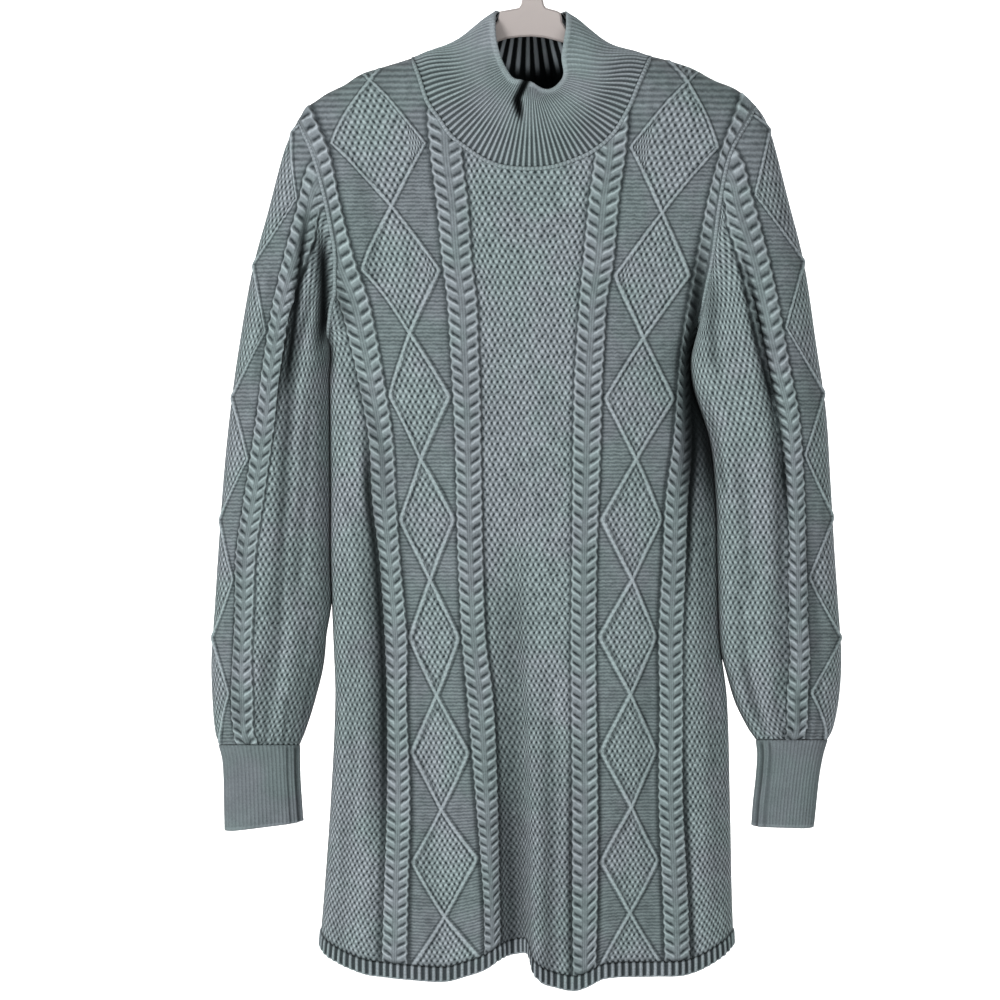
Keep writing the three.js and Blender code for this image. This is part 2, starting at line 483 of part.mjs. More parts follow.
// collar: from the neckline up to the rim
function along(points) {
  const at = [0];
  for (let k = 1; k < points.length; k++) at.push(at[k - 1] + points[k].distanceTo(points[k - 1]));
  return at.map((a) => a / at[at.length - 1]);
}
const neckFront = front.rows[0].slice(FIRST_NECK, LAST_NECK + 1);
const neckBack = back.rows[0].slice(FIRST_NECK, LAST_NECK + 1);
const shareFront = along(neckFront);
const shareBack = along(neckBack);
const ring = [];
neckFront.forEach((p, k) => ring.push({ p, left: shareFront[k] < 0.5, place: Math.abs(2 * shareFront[k] - 1), n: frontIn[0][FIRST_NECK + k] }));
for (let k = neckBack.length - 2; k > 0; k--) {
  ring.push({ p: neckBack[k], left: shareBack[k] < 0.5, place: 2 - Math.abs(2 * shareBack[k] - 1), n: backIn[0][FIRST_NECK + k] });
}
const collarGrid = [];
for (let r = 0; r <= COLLAR_ROWS; r++) {
  const f = r / COLLAR_ROWS;
  collarGrid.push(ring.map(({ p, left, place }) => {
    const rim = left ? RIM_LEFT : RIM_RIGHT;
    const q = new THREE.Vector3(straight(rim, place), straight(rim, place, 3), straight(rim, place, 2));
    const base = p.clone();
    if (Math.abs(place - 1) < 1e-6) base.y = 0;
    const w = base.lerp(q, f);
    const hump = 4 * f * (1 - f);
    w.z += hump * straight(COLLAR_BOW, place, 1);
    w.y += hump * straight(COLLAR_BOW, place, 2) * (place < 1 ? -1 : 1);
    return w;
  }));
}
const collarIn = inwardOf(collarGrid, true, -1);
ring.forEach((station, k) => {
  const v = collarIn[0][k].clone().add(station.n);
  const onPlane = Math.abs(station.place - 1) < 1e-6;
  if (onPlane) flatten(v); else v.normalize();
  collarIn[0][k].copy(v);
  station.n.copy(v);
  if (onPlane) backIn[0][k === 0 ? FIRST_NECK : LAST_NECK].copy(v);
});
retreat(collarGrid, 0, 1, GAP);
for (const s of sleeves) retreat(s.grid, 0, 1, GAP);

add('front', wallGeometry(front.rows, frontIn, false), CLOTH);
add('back', wallGeometry(back.rows, backIn, false), CLOTH);
add('collar', wallGeometry(collarGrid, collarIn, true, (k) => k >= neckFront.length - 1), CLOTH_DARK);

// hem bands continue the panels below their lower seam
for (const [name, part, inward] of [['hem_front', front, frontIn], ['hem_back', back, backIn]]) {
  const edge = inward[inward.length - 1];
  for (const p of part.band[0]) p.z -= HEM_GAP;
  add(name, wallGeometry(part.band, [edge, edge], false), CLOTH_DARK);
}

for (const s of sleeves) {
  add(`sleeve_${s.name}`, wallGeometry(s.grid, s.inward, true, (k) => (k < UPPER_ROWS) === (s.column === 0)), CLOTH);
  const grid = tubeGrid(s.cuff, []);
  grid[0] = s.grid[s.grid.length - 1].map((p) => p.clone());
  const inward = inwardOf(grid, true, s.flip);
  inward[0] = s.inward[s.inward.length - 1];
  retreat(grid, 0, 1, GAP);
  add(`cuff_${s.name}`, wallGeometry(grid, inward, true), CLOTH_DARK);
}

// hanger: one flat moulded outline with its hook
function hangerShape() {
  const middle = STEM.map(([x, z, w]) => ({ x, z, w }));
  for (let k = 0; k <= HOOK_ARC.steps; k++) {
    const a = THREE.MathUtils.degToRad(lerp(HOOK_ARC.from, HOOK_ARC.to, k / HOOK_ARC.steps));
    const r = HOOK_RADIUS + HOOK_WIDTH / 2;
    middle.push({ x: r * Math.cos(a), z: -HOOK_RADIUS + r * Math.sin(a), w: HOOK_WIDTH });
  }
  const sideA = [];
  const sideB = [];
  middle.forEach((p, k) => {
    const a = middle[Math.max(0, k - 1)];
    const b = middle[Math.min(middle.length - 1, k + 1)];
    const dx = b.x - a.x;
    const dz = b.z - a.z;
    const len = Math.hypot(dx, dz);
    sideA.push(new THREE.Vector2(p.x - (dz / len) * p.w / 2, p.z + (dx / len) * p.w / 2));
    sideB.push(new THREE.Vector2(p.x + (dz / len) * p.w / 2, p.z - (dx / len) * p.w / 2));
  });
  const last = middle[middle.length - 1];
  const before = middle[middle.length - 2];
  const out = Math.atan2(last.z - before.z, last.x - before.x);
  const tip = [-60, -30, 0, 30, 60].map((d) => {
    const a = out - THREE.MathUtils.degToRad(d);
    return new THREE.Vector2(last.x + (last.w / 2) * Math.cos(a), last.z + (last.w / 2) * Math.sin(a));
  });
  const left = HANGER_LEFT.map(([x, z]) => new THREE.Vector2(x, z));
  const right = HANGER_RIGHT.map(([x, z]) => new THREE.Vector2(x, z));
  return new THREE.Shape([...left.reverse(), ...sideA, ...tip, ...sideB.reverse(), ...right]);
}
const hanger = new THREE.ExtrudeGeometry(hangerShape(), {
  depth: HANGER_THICK - 2 * HANGER_BEVEL,
  bevelEnabled: true,
  bevelThickness: HANGER_BEVEL,
  bevelSize: HANGER_BEVEL,
  bevelOffset: -HANGER_BEVEL,
  bevelSegments: 1,
  curveSegments: 1,
});
hanger.translate(0, 0, -(HANGER_THICK / 2 - HANGER_BEVEL));
hanger.rotateX(Math.PI / 2);
add('hanger', hanger, PLASTIC, 0.45);

export default model;
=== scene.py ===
import math

import bpy
import numpy as np
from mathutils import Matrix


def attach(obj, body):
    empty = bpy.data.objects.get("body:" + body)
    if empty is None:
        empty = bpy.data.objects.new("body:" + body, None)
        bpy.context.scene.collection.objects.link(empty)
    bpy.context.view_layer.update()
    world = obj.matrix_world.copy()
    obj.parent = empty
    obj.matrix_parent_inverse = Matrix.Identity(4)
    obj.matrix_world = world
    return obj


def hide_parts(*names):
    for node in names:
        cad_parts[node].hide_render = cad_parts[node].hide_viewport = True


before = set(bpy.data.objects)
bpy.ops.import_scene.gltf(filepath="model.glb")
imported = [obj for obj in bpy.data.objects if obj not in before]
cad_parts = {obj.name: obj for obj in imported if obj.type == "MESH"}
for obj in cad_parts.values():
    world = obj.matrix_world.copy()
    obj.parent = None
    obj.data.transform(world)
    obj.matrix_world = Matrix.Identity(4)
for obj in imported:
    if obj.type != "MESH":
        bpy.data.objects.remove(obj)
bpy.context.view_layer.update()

scene = bpy.context.scene

# Knitted sweater dress on a moulded hanger. Lengths in the tables are millimetres
# (the mesh is made in metres), in the frame of the CAD model.

# ------------------------------------------------------------------ camera
camera_data = bpy.data.cameras.new("camera")
camera_data.sensor_width = 36.0
camera_data.lens = 489.08
camera_data.clip_end = 50.0
camera = bpy.data.objects.new("camera", camera_data)
camera.location = (-0.0264, -12.0, -0.5104)
camera.rotation_euler = (math.radians(90.0), 0.0, 0.0)
scene.collection.objects.link(camera)
scene.camera = camera

# ------------------------------------------------------------ form tables
WALL = 3.0
PIT_Z = -374.0
HEM_BAND = 12.8
SHOULDER_ROLL = 50.0
ARMHOLE_DEPTH = 30.0
SECTION_POWER = 2.6
EDGE_TURN = 1.7
PX = 0.88

LINE_KEYS = np.array([0, 1, 2, 2.5, 3, 4, 5, 6, 6.5, 7, 8, 9], float)
LINES = [
    [-114.4, -277.2, -246.4, -202.4, -146.1, -73.9, -48.4, 47.5, 73.9, 144.3, 195.4, 237.6, 264.0],
    [-161.9, -255.2, -229.7, -192.7, -137.3, -90.6, -56.3, 53.7, 86.7, 135.1, 182.2, 217.4, 237.6],
    [-202.4, -235.8, -208.6, -176.0, -129.4, -88.9, -59.0, 56.3, 85.4, 126.7, 167.6, 187.0, 206.8],
    [-246.4, -224.4, -193.2, -166.8, -122.8, -83.6, -53.7, 51.0, 79.2, 118.4, 155.8, 178.6, 199.8],
    [-299.2, -211.2, -184.8, -153.1, -114.8, -78.3, -50.2, 45.8, 74.8, 110.0, 145.6, 174.7, 189.2],
    [-334.4, -198.0, -169.8, -140.8, -110.0, -73.9, -45.8, 42.7, 68.6, 104.7, 139.0, 164.6, 173.4],
    [-374.0, -178.2, -159.3, -132.9, -104.7, -71.3, -44.4, 40.0, 66.4, 99.4, 133.3, 143.4, 146.1],
    [-404.8, -177.8, -152.2, -127.6, -102.1, -69.5, -43.1, 38.3, 64.7, 97.2, 130.2, 141.2, 143.9],
    [-457.6, -177.3, -142.9, -119.7, -97.7, -66.9, -42.2, 37.0, 63.4, 94.2, 125.8, 143.4, 159.7],
    [-510.4, -176.9, -139.9, -117.0, -92.8, -65.6, -41.4, 36.5, 61.6, 92.4, 118.8, 139.9, 165.0],
    [-563.2, -176.9, -133.3, -113.5, -88.9, -64.2, -40.5, 36.1, 59.8, 90.6, 116.2, 138.2, 166.3],
    [-633.6, -174.2, -128.5, -107.4, -84.5, -60.7, -37.8, 35.2, 59.0, 88.9, 112.6, 135.5, 168.5],
    [-686.4, -172.5, -126.7, -107.8, -81.8, -55.9, -31.2, 35.6, 59.4, 88.4, 113.5, 135.5, 174.7],
    [-774.4, -176.4, -126.7, -104.7, -78.3, -48.4, -27.7, 36.1, 60.7, 89.3, 112.6, 135.5, 177.3],
    [-862.4, -182.6, -129.4, -106.5, -75.7, -41.4, -26.4, 36.5, 60.3, 88.0, 116.2, 139.9, 179.1],
    [-915.2, -187.4, -131.1, -107.4, -73.9, -40.5, -25.1, 37.0, 59.0, 87.1, 117.9, 141.7, 181.3],
]
ARMHOLE_LEFT = [[-374, 0], [-365.2, 0.4], [-352, 0.68], [-334.4, 0.925], [-316.8, 1.2], [-301, 1.42], [-286, 1.5], [-175.1, 1.5]]
ARMHOLE_RIGHT = [[-374, 9], [-370.5, 8.45], [-365.2, 8], [-352, 7.65], [-334.4, 7.53], [-321.2, 7.5], [-161.9, 7.5]]
TIP_LEFT_Z = -175.1
TIP_RIGHT_Z = -161.9
SHOULDER = [[-215.6, -183], [-205.9, -175.1], [-198, -163.7], [-189.2, -157.5], [-180.4, -151.4], [-171.6, -147], [-162.8, -142.6],
            [-154, -136.4], [-145.2, -132], [-136.4, -129.4], [-118.8, -124.1], [-104.2, -119.7], [-79.2, -114.4], [0, -110.9],
            [79.2, -113.5], [106.8, -117.9], [127.6, -123.2], [145.2, -129.4], [162.8, -139], [180.4, -146.1], [189.2, -152.2],
            [199.8, -161.9], [211.2, -177.8]]
NECK_FRONT = [[-104.2, -119.7], [-97.7, -136.8], [-90.6, -158.4], [-80.1, -174.2], [-69.5, -189.2], [-56.3, -199.8], [-42.2, -209.4],
              [-24.6, -216.5], [-2.6, -218.6], [16.7, -217.4], [35.2, -212.1], [54.6, -203.3], [73, -187.4], [87.1, -163.7], [95.9, -142.6], [106.8, -117.9]]
NECK_BACK = [[-104.2, -119.7], [-96.8, -130.2], [-84.5, -139.9], [-61.6, -148.7], [-30.8, -153.1], [0, -154.4], [31.7, -153.1],
             [63.4, -148.7], [86.2, -139.9], [98.6, -130.2], [106.8, -117.9]]
HEM_FRONT = [[-189.2, -895.8], [-187.4, -901.1], [-184.8, -907.3], [-180.4, -912.6], [-171.6, -917.8], [-162.8, -922.2], [-145.2, -928.4],
             [-127.6, -931], [-110, -932.8], [-74.8, -934.6], [-57.2, -930.2], [-39.6, -924], [-22, -913.4], [-10.6, -909.9], [-3.5, -909.9],
             [-0.9, -915.2], [1.8, -926.6], [6.2, -931.9], [13.2, -936.3], [26.4, -940.7], [39.6, -942.5], [50.2, -939.4], [66, -931.9],
             [110, -930.2], [136.4, -929.3], [154, -923.1], [171.6, -912.6], [178.6, -905.5], [182.2, -901.1]]
HEM_BACK = [[-189.2, -895.8], [-187.4, -901.1], [-167.2, -907.3], [-132, -912.6], [-88, -914.3], [-52.8, -910.8], [-17.6, -904.6],
            [17.6, -909], [61.6, -916.1], [105.6, -917], [140.8, -912.6], [167.2, -906.4], [182.2, -901.1]]
BODY_DEPTH = [[-942, 50], [-800, 48], [-650, 45], [-500, 43], [-374, 41], [-250, 39], [-110, 38]]

# long folds: knitted line, mm beside it, top, full, end (0 = hem), depth (minus stands proud), width
FOLDS_FRONT = [
    (1, -3, -500, -640, 0, 6, 9), (4, 11, -620, -880, 0, 15, 11), (4.5, 2, -660, -890, 0, -7, 12),
    (5, -1, -760, -860, 0, 3, 5), (8, 4, -330, -390, -640, 6, 8), (8, 3, -720, -820, 0, 4, 8),
    (2.5, 6, -700, -860, 0, 4, 22), (6.5, 4, -640, -860, 0, 4, 20),
]
FOLDS_BACK = [
    (1.4, 0, -560, -800, 0, 9, 13), (3.6, 4, -480, -780, 0, 8, 16), (4.7, 0, -640, -860, 0, -6, 16),
    (5.6, 6, -600, -840, 0, 12, 14), (7.7, 0, -520, -820, 0, 7, 14),
]

# collar rim: place (0 front middle, 1 shoulder, 2 back middle), x, z, y
RIM_LEFT = [[0, 0.4, -142.6, -41], [0.2, -5.3, -140.8, -41], [0.4, -14.1, -139, -40], [0.6, -19.8, -132, -37], [0.8, -25.1, -121.4, -31],
            [0.9, -28.2, -110.9, -25], [1, -30.4, -99.4, -18], [1.15, -31.2, -88, -12], [1.3, -30.8, -79.2, 1], [1.5, -27.3, -78.3, 14],
            [1.75, -16.7, -82.7, 26], [2, 0, -87.1, 31]]
RIM_RIGHT = [[0, 0.4, -142.6, -41], [0.2, 7, -147.8, -41], [0.4, 16.7, -148.7, -41], [0.6, 24.6, -143.9, -38], [0.8, 29.5, -134.6, -32],
             [0.9, 27.7, -120.6, -26], [1, 29.9, -106.5, -19], [1.15, 32.6, -92.4, -12], [1.3, 32.6, -80.1, 1], [1.5, 29, -79.2, 14],
             [1.75, 16.7, -82.7, 26], [2, 0, -87.1, 31]]
COLLAR_BOW = [[0, 0, 4], [0.6, 0, 4], [0.9, 0, 2], [1, 0, 0], [1.15, 3.5, 0], [1.3, 6, 1], [1.5, 3, 3], [2, 0, 4]]

# sleeve sections: outer x, outer z, inner x, inner z, half depth, lean
SLEEVE_LEFT = [
    [-205.9, -175.1, -178.2, -374.0, 30, 0], [-217.4, -202.4, -179.3, -381.0, 32, 15], [-231.4, -255.2, -179.5, -389.8, 34, 7.9],
    [-245.5, -308.0, -179.5, -406.6, 35.5, 2.6], [-257.0, -374.0, -179.5, -433.0, 36, 0], [-264.9, -431.2, -179.5, -468.2, 36, 0],
    [-271.0, -492.8, -179.5, -514.8, 36, 0], [-275.4, -554.4, -179.3, -565.0, 36, 0], [-278.5, -602.8, -178.6, -607.2, 36, 0],
    [-281.6, -651.2, -180.8, -651.2, 34.5, 0], [-280.7, -686.4, -188.8, -686.4, 31, 0], [-278.5, -712.8, -197.1, -712.8, 25, 0],
    [-275.0, -726.9, -202.8, -726.9, 18, 0]]
SLEEVE_RIGHT = [
    [199.8, -161.9, 146.1, -374.0, 30, 0], [212.1, -183.0, 148.3, -381.0, 32, -15], [228.8, -246.4, 148.0, -390.7, 34, -7.9],
    [242.9, -303.6, 147.8, -407.4, 35.5, -2.6], [253.4, -374.0, 153.6, -433.0, 36, 0], [261.8, -431.2, 165.0, -463.8, 36, 0],
    [265.8, -492.8, 168.5, -510.4, 36, 0], [269.3, -554.4, 170.5, -561.4, 36, 0], [272.6, -602.8, 169.8, -607.2, 36, 0],
    [275.4, -646.8, 173.4, -646.8, 34.5, 0], [273.7, -682.0, 178.2, -682.0, 31, 0], [268.8, -709.3, 190.5, -709.3, 25, 0],
    [263.1, -722.5, 199.3, -722.5, 18, 0]]
CUFF_LEFT = [
    [-275.0, -726.9, -202.8, -726.9, 18, 0], [-271.9, -739.2, -202.8, -739.2, 15, 0], [-270.6, -756.8, -202.4, -756.8, 13.5, 0],
    [-270.2, -778.8, -200.8, -778.8, 13, 0], [-269.7, -800.4, -199.8, -791.6, 12.5, 0]]
CUFF_RIGHT = [
    [263.1, -722.5, 199.3, -722.5, 18, 0], [259.2, -735.7, 200.6, -735.7, 15, 0], [255.6, -755.0, 199.3, -755.0, 13.5, 0],
    [253.0, -777.0, 196.7, -777.0, 13, 0], [250.8, -797.3, 195.4, -795.5, 12.5, 0]]
# folds of the sleeves: side (share from the outer to the inner edge) at the top and at the
# bottom, first, full and last section, depth, width, share of it that the hidden side takes
CREASES_LEFT = [(0.62, 0.54, 1.0, 3.0, 12.0, 7.5, 10, 0.5), (0.20, 0.22, 4.5, 8.0, 13.0, 2.5, 9, 0.8), (0.84, 0.80, 6.0, 9.0, 13.0, 3.0, 8, 0.9)]
CREASES_RIGHT = [(0.40, 0.57, 1.6, 3.4, 12.0, 7.5, 9, 0.5), (0.22, 0.20, 5.0, 8.0, 13.0, 2.5, 9, 0.8), (0.82, 0.84, 6.0, 9.0, 13.0, 3.0, 8, 0.9)]

# where the diamond lines cross, down the two diamond strips, and down each sleeve (picture rows)
CROSS_LEFT = [-48, 79, 206, 333, 459.5, 580, 695.4, 809.3, 914.5, 1020]
CROSS_RIGHT = [-51, 81, 212.5, 338, 459.4, 579.8, 694.7, 807.5, 914.9, 1020]
CROSS_SLEEVE_LEFT = [-2, 131, 264, 397, 520, 638, 750, 862]
CROSS_SLEEVE_RIGHT = [-5, 128, 261, 393, 517, 638, 748, 858]
# edges of the sleeve cable in each section, as shares from the outer to the inner edge
SLEEVE_CABLE_LEFT = [(.16, .38), (.18, .40), (.22, .43), (.26, .46), (.27, .475), (.266, .467), (.22, .42), (.16, .36), (.175, .36), (.185, .37),
                     (.18, .41), (.2, .44), (.22, .5)]
SLEEVE_CABLE_RIGHT = [(.17, .38), (.19, .40), (.215, .43), (.24, .465), (.245, .45), (.245, .43), (.245, .42), (.252, .42), (.265, .44), (.28, .46),
                      (.29, .5), (.3, .55), (.32, .6)]


# ------------------------------------------------------------------ maths
def rising(table):
    t = np.array(table, float)
    return t if t[-1, 0] > t[0, 0] else t[::-1]


def straight(table, x, col=1):
    t = rising(table)
    return np.interp(x, t[:, 0], t[:, col])


def curve(table, x, col=1):
    t = rising(table)
    xs, ys = t[:, 0], t[:, col]
    n = len(xs)
    slope = np.empty(n)
    slope[1:-1] = (ys[2:] - ys[:-2]) / (xs[2:] - xs[:-2])
    slope[0] = (ys[1] - ys[0]) / (xs[1] - xs[0])
    slope[-1] = (ys[-1] - ys[-2]) / (xs[-1] - xs[-2])
    v = np.clip(x, xs[0], xs[-1])
    i = np.clip(np.searchsorted(xs, v, side="right") - 1, 0, n - 2)
    h = xs[i + 1] - xs[i]
    f = (v - xs[i]) / h
    f2, f3 = f * f, f * f * f
    return (2 * f3 - 3 * f2 + 1) * ys[i] + (f3 - 2 * f2 + f) * h * slope[i] + (3 * f2 - 2 * f3) * ys[i + 1] + (f3 - f2) * h * slope[i + 1]


def lerp(a, b, f):
    return a + (b - a) * f


def smooth(f):
    c = np.clip(f, 0, 1)
    return c * c * (3 - 2 * c)


def line_x(line, z):
    line, z = np.broadcast_arrays(np.asarray(line, float), np.asarray(z, float))
    xs = np.stack([curve(LINES, z, k + 1) for k in range(len(LINE_KEYS))])
    k = np.clip(np.searchsorted(LINE_KEYS, line, side="left") - 1, 0, len(LINE_KEYS) - 2)
    f = np.clip((line - LINE_KEYS[k]) / (LINE_KEYS[k + 1] - LINE_KEYS[k]), 0, 1)
    f = np.where(k == 0, f ** EDGE_TURN, f)
    f = np.where(k == len(LINE_KEYS) - 2, 1 - (1 - f) ** EDGE_TURN, f)
    a = np.take_along_axis(xs, k[None], 0)[0]
    b = np.take_along_axis(xs, (k + 1)[None], 0)[0]
    return a + (b - a) * f


def edge_left(z):
    return np.where(z <= PIT_Z, 0.0, straight(ARMHOLE_LEFT, z))


def edge_right(z):
    return np.where(z <= PIT_Z, 9.0, straight(ARMHOLE_RIGHT, z))


def strand(c, z):
    c, z = np.broadcast_arrays(np.asarray(c, float), np.asarray(z, float))
    s = np.where(c < 2, lerp(edge_left(z), 2, c / 2), c)
    s = np.where(c > 7, lerp(edge_right(z), 7, (9 - c) / 2), s)
    return np.where(z <= PIT_Z, c, s)


def body_x(c, z):
    return line_x(strand(c, z), z)


def arm_depth(z, tip):
    f = np.clip((tip - z) / (tip - PIT_Z), 0, 1)
    return ARMHOLE_DEPTH * np.sqrt(np.maximum(0, 1 - (1 - 2 * f) ** 2))


def fold_depth(folds, x, z):
    total = np.zeros_like(x)
    for line, shift, top, full, end, depth, width in folds:
        grow = smooth((top - z) / (top - full))
        if end:
            grow = grow * (1 - smooth((full - z) / (full - end)))
        total += depth * grow * np.exp(-((x - line_x(line, z) - shift) / width) ** 2)
    return total


def body_depth(c, z, folds, extra=None):
    x = body_x(c, z)
    left, right = line_x(edge_left(z), z), line_x(edge_right(z), z)
    t = (2 * x - left - right) / (right - left)
    round_ = (1 - np.minimum(1, np.abs(t)) ** SECTION_POWER) ** (1 / SECTION_POWER)
    drop = (curve(SHOULDER, x) - z) / SHOULDER_ROLL
    roll = np.where(drop >= 1, 1.0, np.sqrt(np.maximum(0, 1 - (1 - np.clip(drop, 0, 1)) ** 2)))
    arm = lerp(arm_depth(z, TIP_LEFT_Z), arm_depth(z, TIP_RIGHT_Z), np.clip((1 + t) / 2, 0, 1))
    full = (straight(BODY_DEPTH, z) - fold_depth(folds, x, z)) * roll
    if extra is not None:
        full = full - extra(x, z) * roll
    return np.maximum(0.2, full * round_ + np.minimum(arm, full) * (1 - round_) ** 1.5)


def top_z(c, neck):
    neck = rising(neck)
    hi, lo = np.full(len(c), -104.0), np.full(len(c), -250.0)
    for _ in range(45):
        mid = (hi + lo) / 2
        x = body_x(c, mid)
        inside = (x > neck[0, 0]) & (x < neck[-1, 0])
        over = mid - np.where(inside, curve(neck, x), curve(SHOULDER, x)) > 0
        hi, lo = np.where(over, mid, hi), np.where(over, lo, mid)
    return (hi + lo) / 2


def bottom_z(c, hem):
    z = np.full(len(c), -915.0)
    for _ in range(6):
        z = curve(hem, body_x(c, z))
    return z


def neck_column(point, a, b):
    for _ in range(45):
        mid = (a + b) / 2
        if body_x(np.array([mid]), np.array([point[1]]))[0] < point[0]:
            a = mid
        else:
            b = mid
    return (a + b) / 2


NECK_C_LEFT = neck_column(NECK_FRONT[0], 2.0, 3.0)
NECK_C_RIGHT = neck_column(NECK_FRONT[-1], 6.0, 7.0)


def diamonds(rows, y):
    return np.interp(y, rows, np.arange(len(rows)) - 1.0)


# ------------------------------------------------ the knit, for mesh and shader
class Val:
    """A shader value, so that one formula serves the mesh and the material."""

    def __init__(self, tree, socket):
        self.tree, self.socket = tree, socket

    def math(self, operation, *others, swap=False):
        node = self.tree.nodes.new("ShaderNodeMath")
        node.operation = operation
        items = [self, *others]
        if swap:
            items = items[::-1]
        for k, item in enumerate(items):
            if isinstance(item, Val):
                self.tree.links.new(item.socket, node.inputs[k])
            else:
                node.inputs[k].default_value = float(item)
        return Val(self.tree, node.outputs[0])

    def __add__(self, o): return self.math("ADD", o)
    def __radd__(self, o): return self.math("ADD", o)
    def __sub__(self, o): return self.math("SUBTRACT", o)
    def __rsub__(self, o): return self.math("SUBTRACT", o, swap=True)
    def __mul__(self, o): return self.math("MULTIPLY", o)
    def __rmul__(self, o): return self.math("MULTIPLY", o)
    def __truediv__(self, o): return self.math("DIVIDE", o)


def f_abs(x): return x.math("ABSOLUTE") if isinstance(x, Val) else np.abs(x)
def f_floor(x): return x.math("FLOOR") if isinstance(x, Val) else np.floor(x)
def f_frac(x): return x.math("FRACT") if isinstance(x, Val) else x - np.floor(x)
def f_cos(x): return x.math("COSINE") if isinstance(x, Val) else np.cos(x)
def f_exp(x): return x.math("EXPONENT") if isinstance(x, Val) else np.exp(x)
def f_mod(x, m): return x.math("MODULO", m) if isinstance(x, Val) else np.mod(x, m)
def f_min(x, m): return x.math("MINIMUM", m) if isinstance(x, Val) else np.minimum(x, m)
def f_max(x, m): return x.math("MAXIMUM", m) if isinstance(x, Val) else np.maximum(x, m)


def bell(x):
    return f_exp(x * x * -1.0)


def step(a, b, x):
    c = f_min(f_max((x - a) * (1.0 / (b - a)), 0.0), 1.0)
    return c * c * (3.0 - 2.0 * c)


TAU = 2 * math.pi


def knit(strip, row, stitch, wide, rough=0.0):
    """Parts of the pattern: strip counts the knitted lines, row the diamonds, stitch the seed columns,
    wide is the width of the diamond strip in mm, rough widens the narrow forms for a coarser mesh."""
    k = f_floor(strip)
    a = strip - k
    cable = f_mod(k, 2.0)
    diamond = f_max(1.0 - f_abs(f_mod(k, 4.0) - 2.0), 0.0)
    centre = f_max(1.0 - f_abs(k - 4.0), 0.0)
    # cable: two chains of links that slant down to the middle
    b = f_abs(2.0 * a - 1.0)
    fr = f_frac(11.0 * row + 0.85 * b - 0.85)
    span = step(0.10, 0.34, b)
    near = f_min(fr, 1.0 - fr)
    yarn = bell(near * (1 / (0.125 + 0.06 * rough))) * span
    pit = bell((fr - 0.68) * (1 / 0.17)) * span * (1.0 - step(0.72, 0.92, b))
    rail = bell((b - 0.86) * (1 / 0.10))
    line = bell(b * (1 / 0.05)) + bell((b - 0.17) * (1 / 0.05))
    lobe = f_cos(11.0 * TAU * row + 0.6)
    valley = step(-0.10, 0.03, b - 0.955 - 0.045 * lobe)
    # ground stitches
    level = f_cos(24.0 * TAU * row)
    dots = f_cos(TAU * stitch) * f_cos(12.0 * TAU * row) * (0.64 + 0.36 * level)
    seed = step(-0.92, 0.86, dots + 0.09 * level)
    garter = f_cos(TAU * (32.0 * f_max(row, 0.6) + 21.0 * f_min(row, 0.6)) + 0.16 * f_cos(TAU * stitch))
    # diamond lines
    tri = 1.0 - f_abs(2.0 * f_frac(row) - 1.0)
    e = (f_abs(a - 0.5) - 0.465 * tri) * wide * 0.91
    off = f_abs(e)
    ridge = 1.0 - step(0.8 - 0.2 * rough, 1.9 + 1.0 * rough, off)
    moat = bell((off - 2.9 - 0.4 * rough) * (1 / 1.0))
    inside = 1.0 - step(-0.3, 0.3, e)
    knot = f_cos(22.0 * TAU * row)
    # the strip's edges, beside the cables
    size = 36.0 + 17.0 * diamond + 42.0 * centre
    edge = bell((0.5 - f_abs(a - 0.5)) * size * (1 / 1.7))
    return dict(cable=cable, diamond=diamond, yarn=yarn, pit=pit, rail=rail, line=line, valley=valley, seed=seed, garter=garter,
                ridge=ridge, moat=moat, inside=inside, edge=edge, knot=knot)


def knit_relief(p):
    """Height of the larger forms over the ground, in mm."""
    rope = 2.5 * (0.72 + 0.28 * p["yarn"] + 0.10 * p["rail"] - 0.62 * p["pit"] - 0.08 * p["line"]) * (1.0 - p["valley"])
    strip = p["diamond"] * (1.5 * p["ridge"] - 0.4 * p["moat"] + 0.35 * p["inside"]) - 0.7 * p["edge"]
    return p["cable"] * (rope - 0.9 * p["valley"]) + (1.0 - p["cable"]) * strip


def knit_fine(p):
    """Height of the single stitches, in mm."""
    ground = p["seed"] * 1.0 * (1.0 - p["diamond"] + p["diamond"] * p["inside"]) + p["diamond"] * (1.0 - p["inside"]) * (0.26 * p["garter"] + 0.25)
    ground = ground * (1.0 - p["ridge"] * p["diamond"]) + p["diamond"] * p["ridge"] * (0.9 + 0.12 * p["knot"])
    rope = 1.2 * (0.6 + 0.4 * p["yarn"] + 0.2 * p["rail"] - 0.6 * p["pit"] - 0.10 * p["line"]) * (1.0 - p["valley"])
    return p["cable"] * rope + (1.0 - p["cable"]) * ground


def knit_tone(p):
    """0 in the dark recesses, 1 on the light crests: the dark of the recesses is painted shade, the light of the crests
    painted highlight.
    """
    # painted shade in the seed holes, garter troughs, moats beside the ridges, cable pits, lines and valleys and on the
    # strip edges beside the cables; painted highlight on yarn strands, rails and ridges
    seed = 0.01 + 0.90 * p["seed"]
    garter = 0.33 + 0.125 * p["garter"]
    mesh = p["inside"] * seed + (1.0 - p["inside"]) * garter
    strip = mesh * (1.0 - 0.64 * p["moat"])
    strip = strip * (1.0 - p["ridge"]) + (0.76 + 0.10 * p["knot"]) * p["ridge"]
    ground = seed * (1.0 - p["diamond"]) + strip * p["diamond"]
    ground = ground * (1.0 - 0.66 * p["edge"])
    rope = (0.47 + 0.48 * p["yarn"] + 0.16 * p["rail"] - 0.42 * p["pit"] - 0.16 * p["line"]) * (1.0 - 0.86 * p["valley"])
    return f_max(p["cable"] * rope + (1.0 - p["cable"]) * ground, 0.0)


# --------------------------------------------------------------- materials
def new_material(name):
    m = bpy.data.materials.new(name)
    m.use_nodes = True
    tree = m.node_tree
    bsdf = tree.nodes["Principled BSDF"]
    return m, tree, bsdf


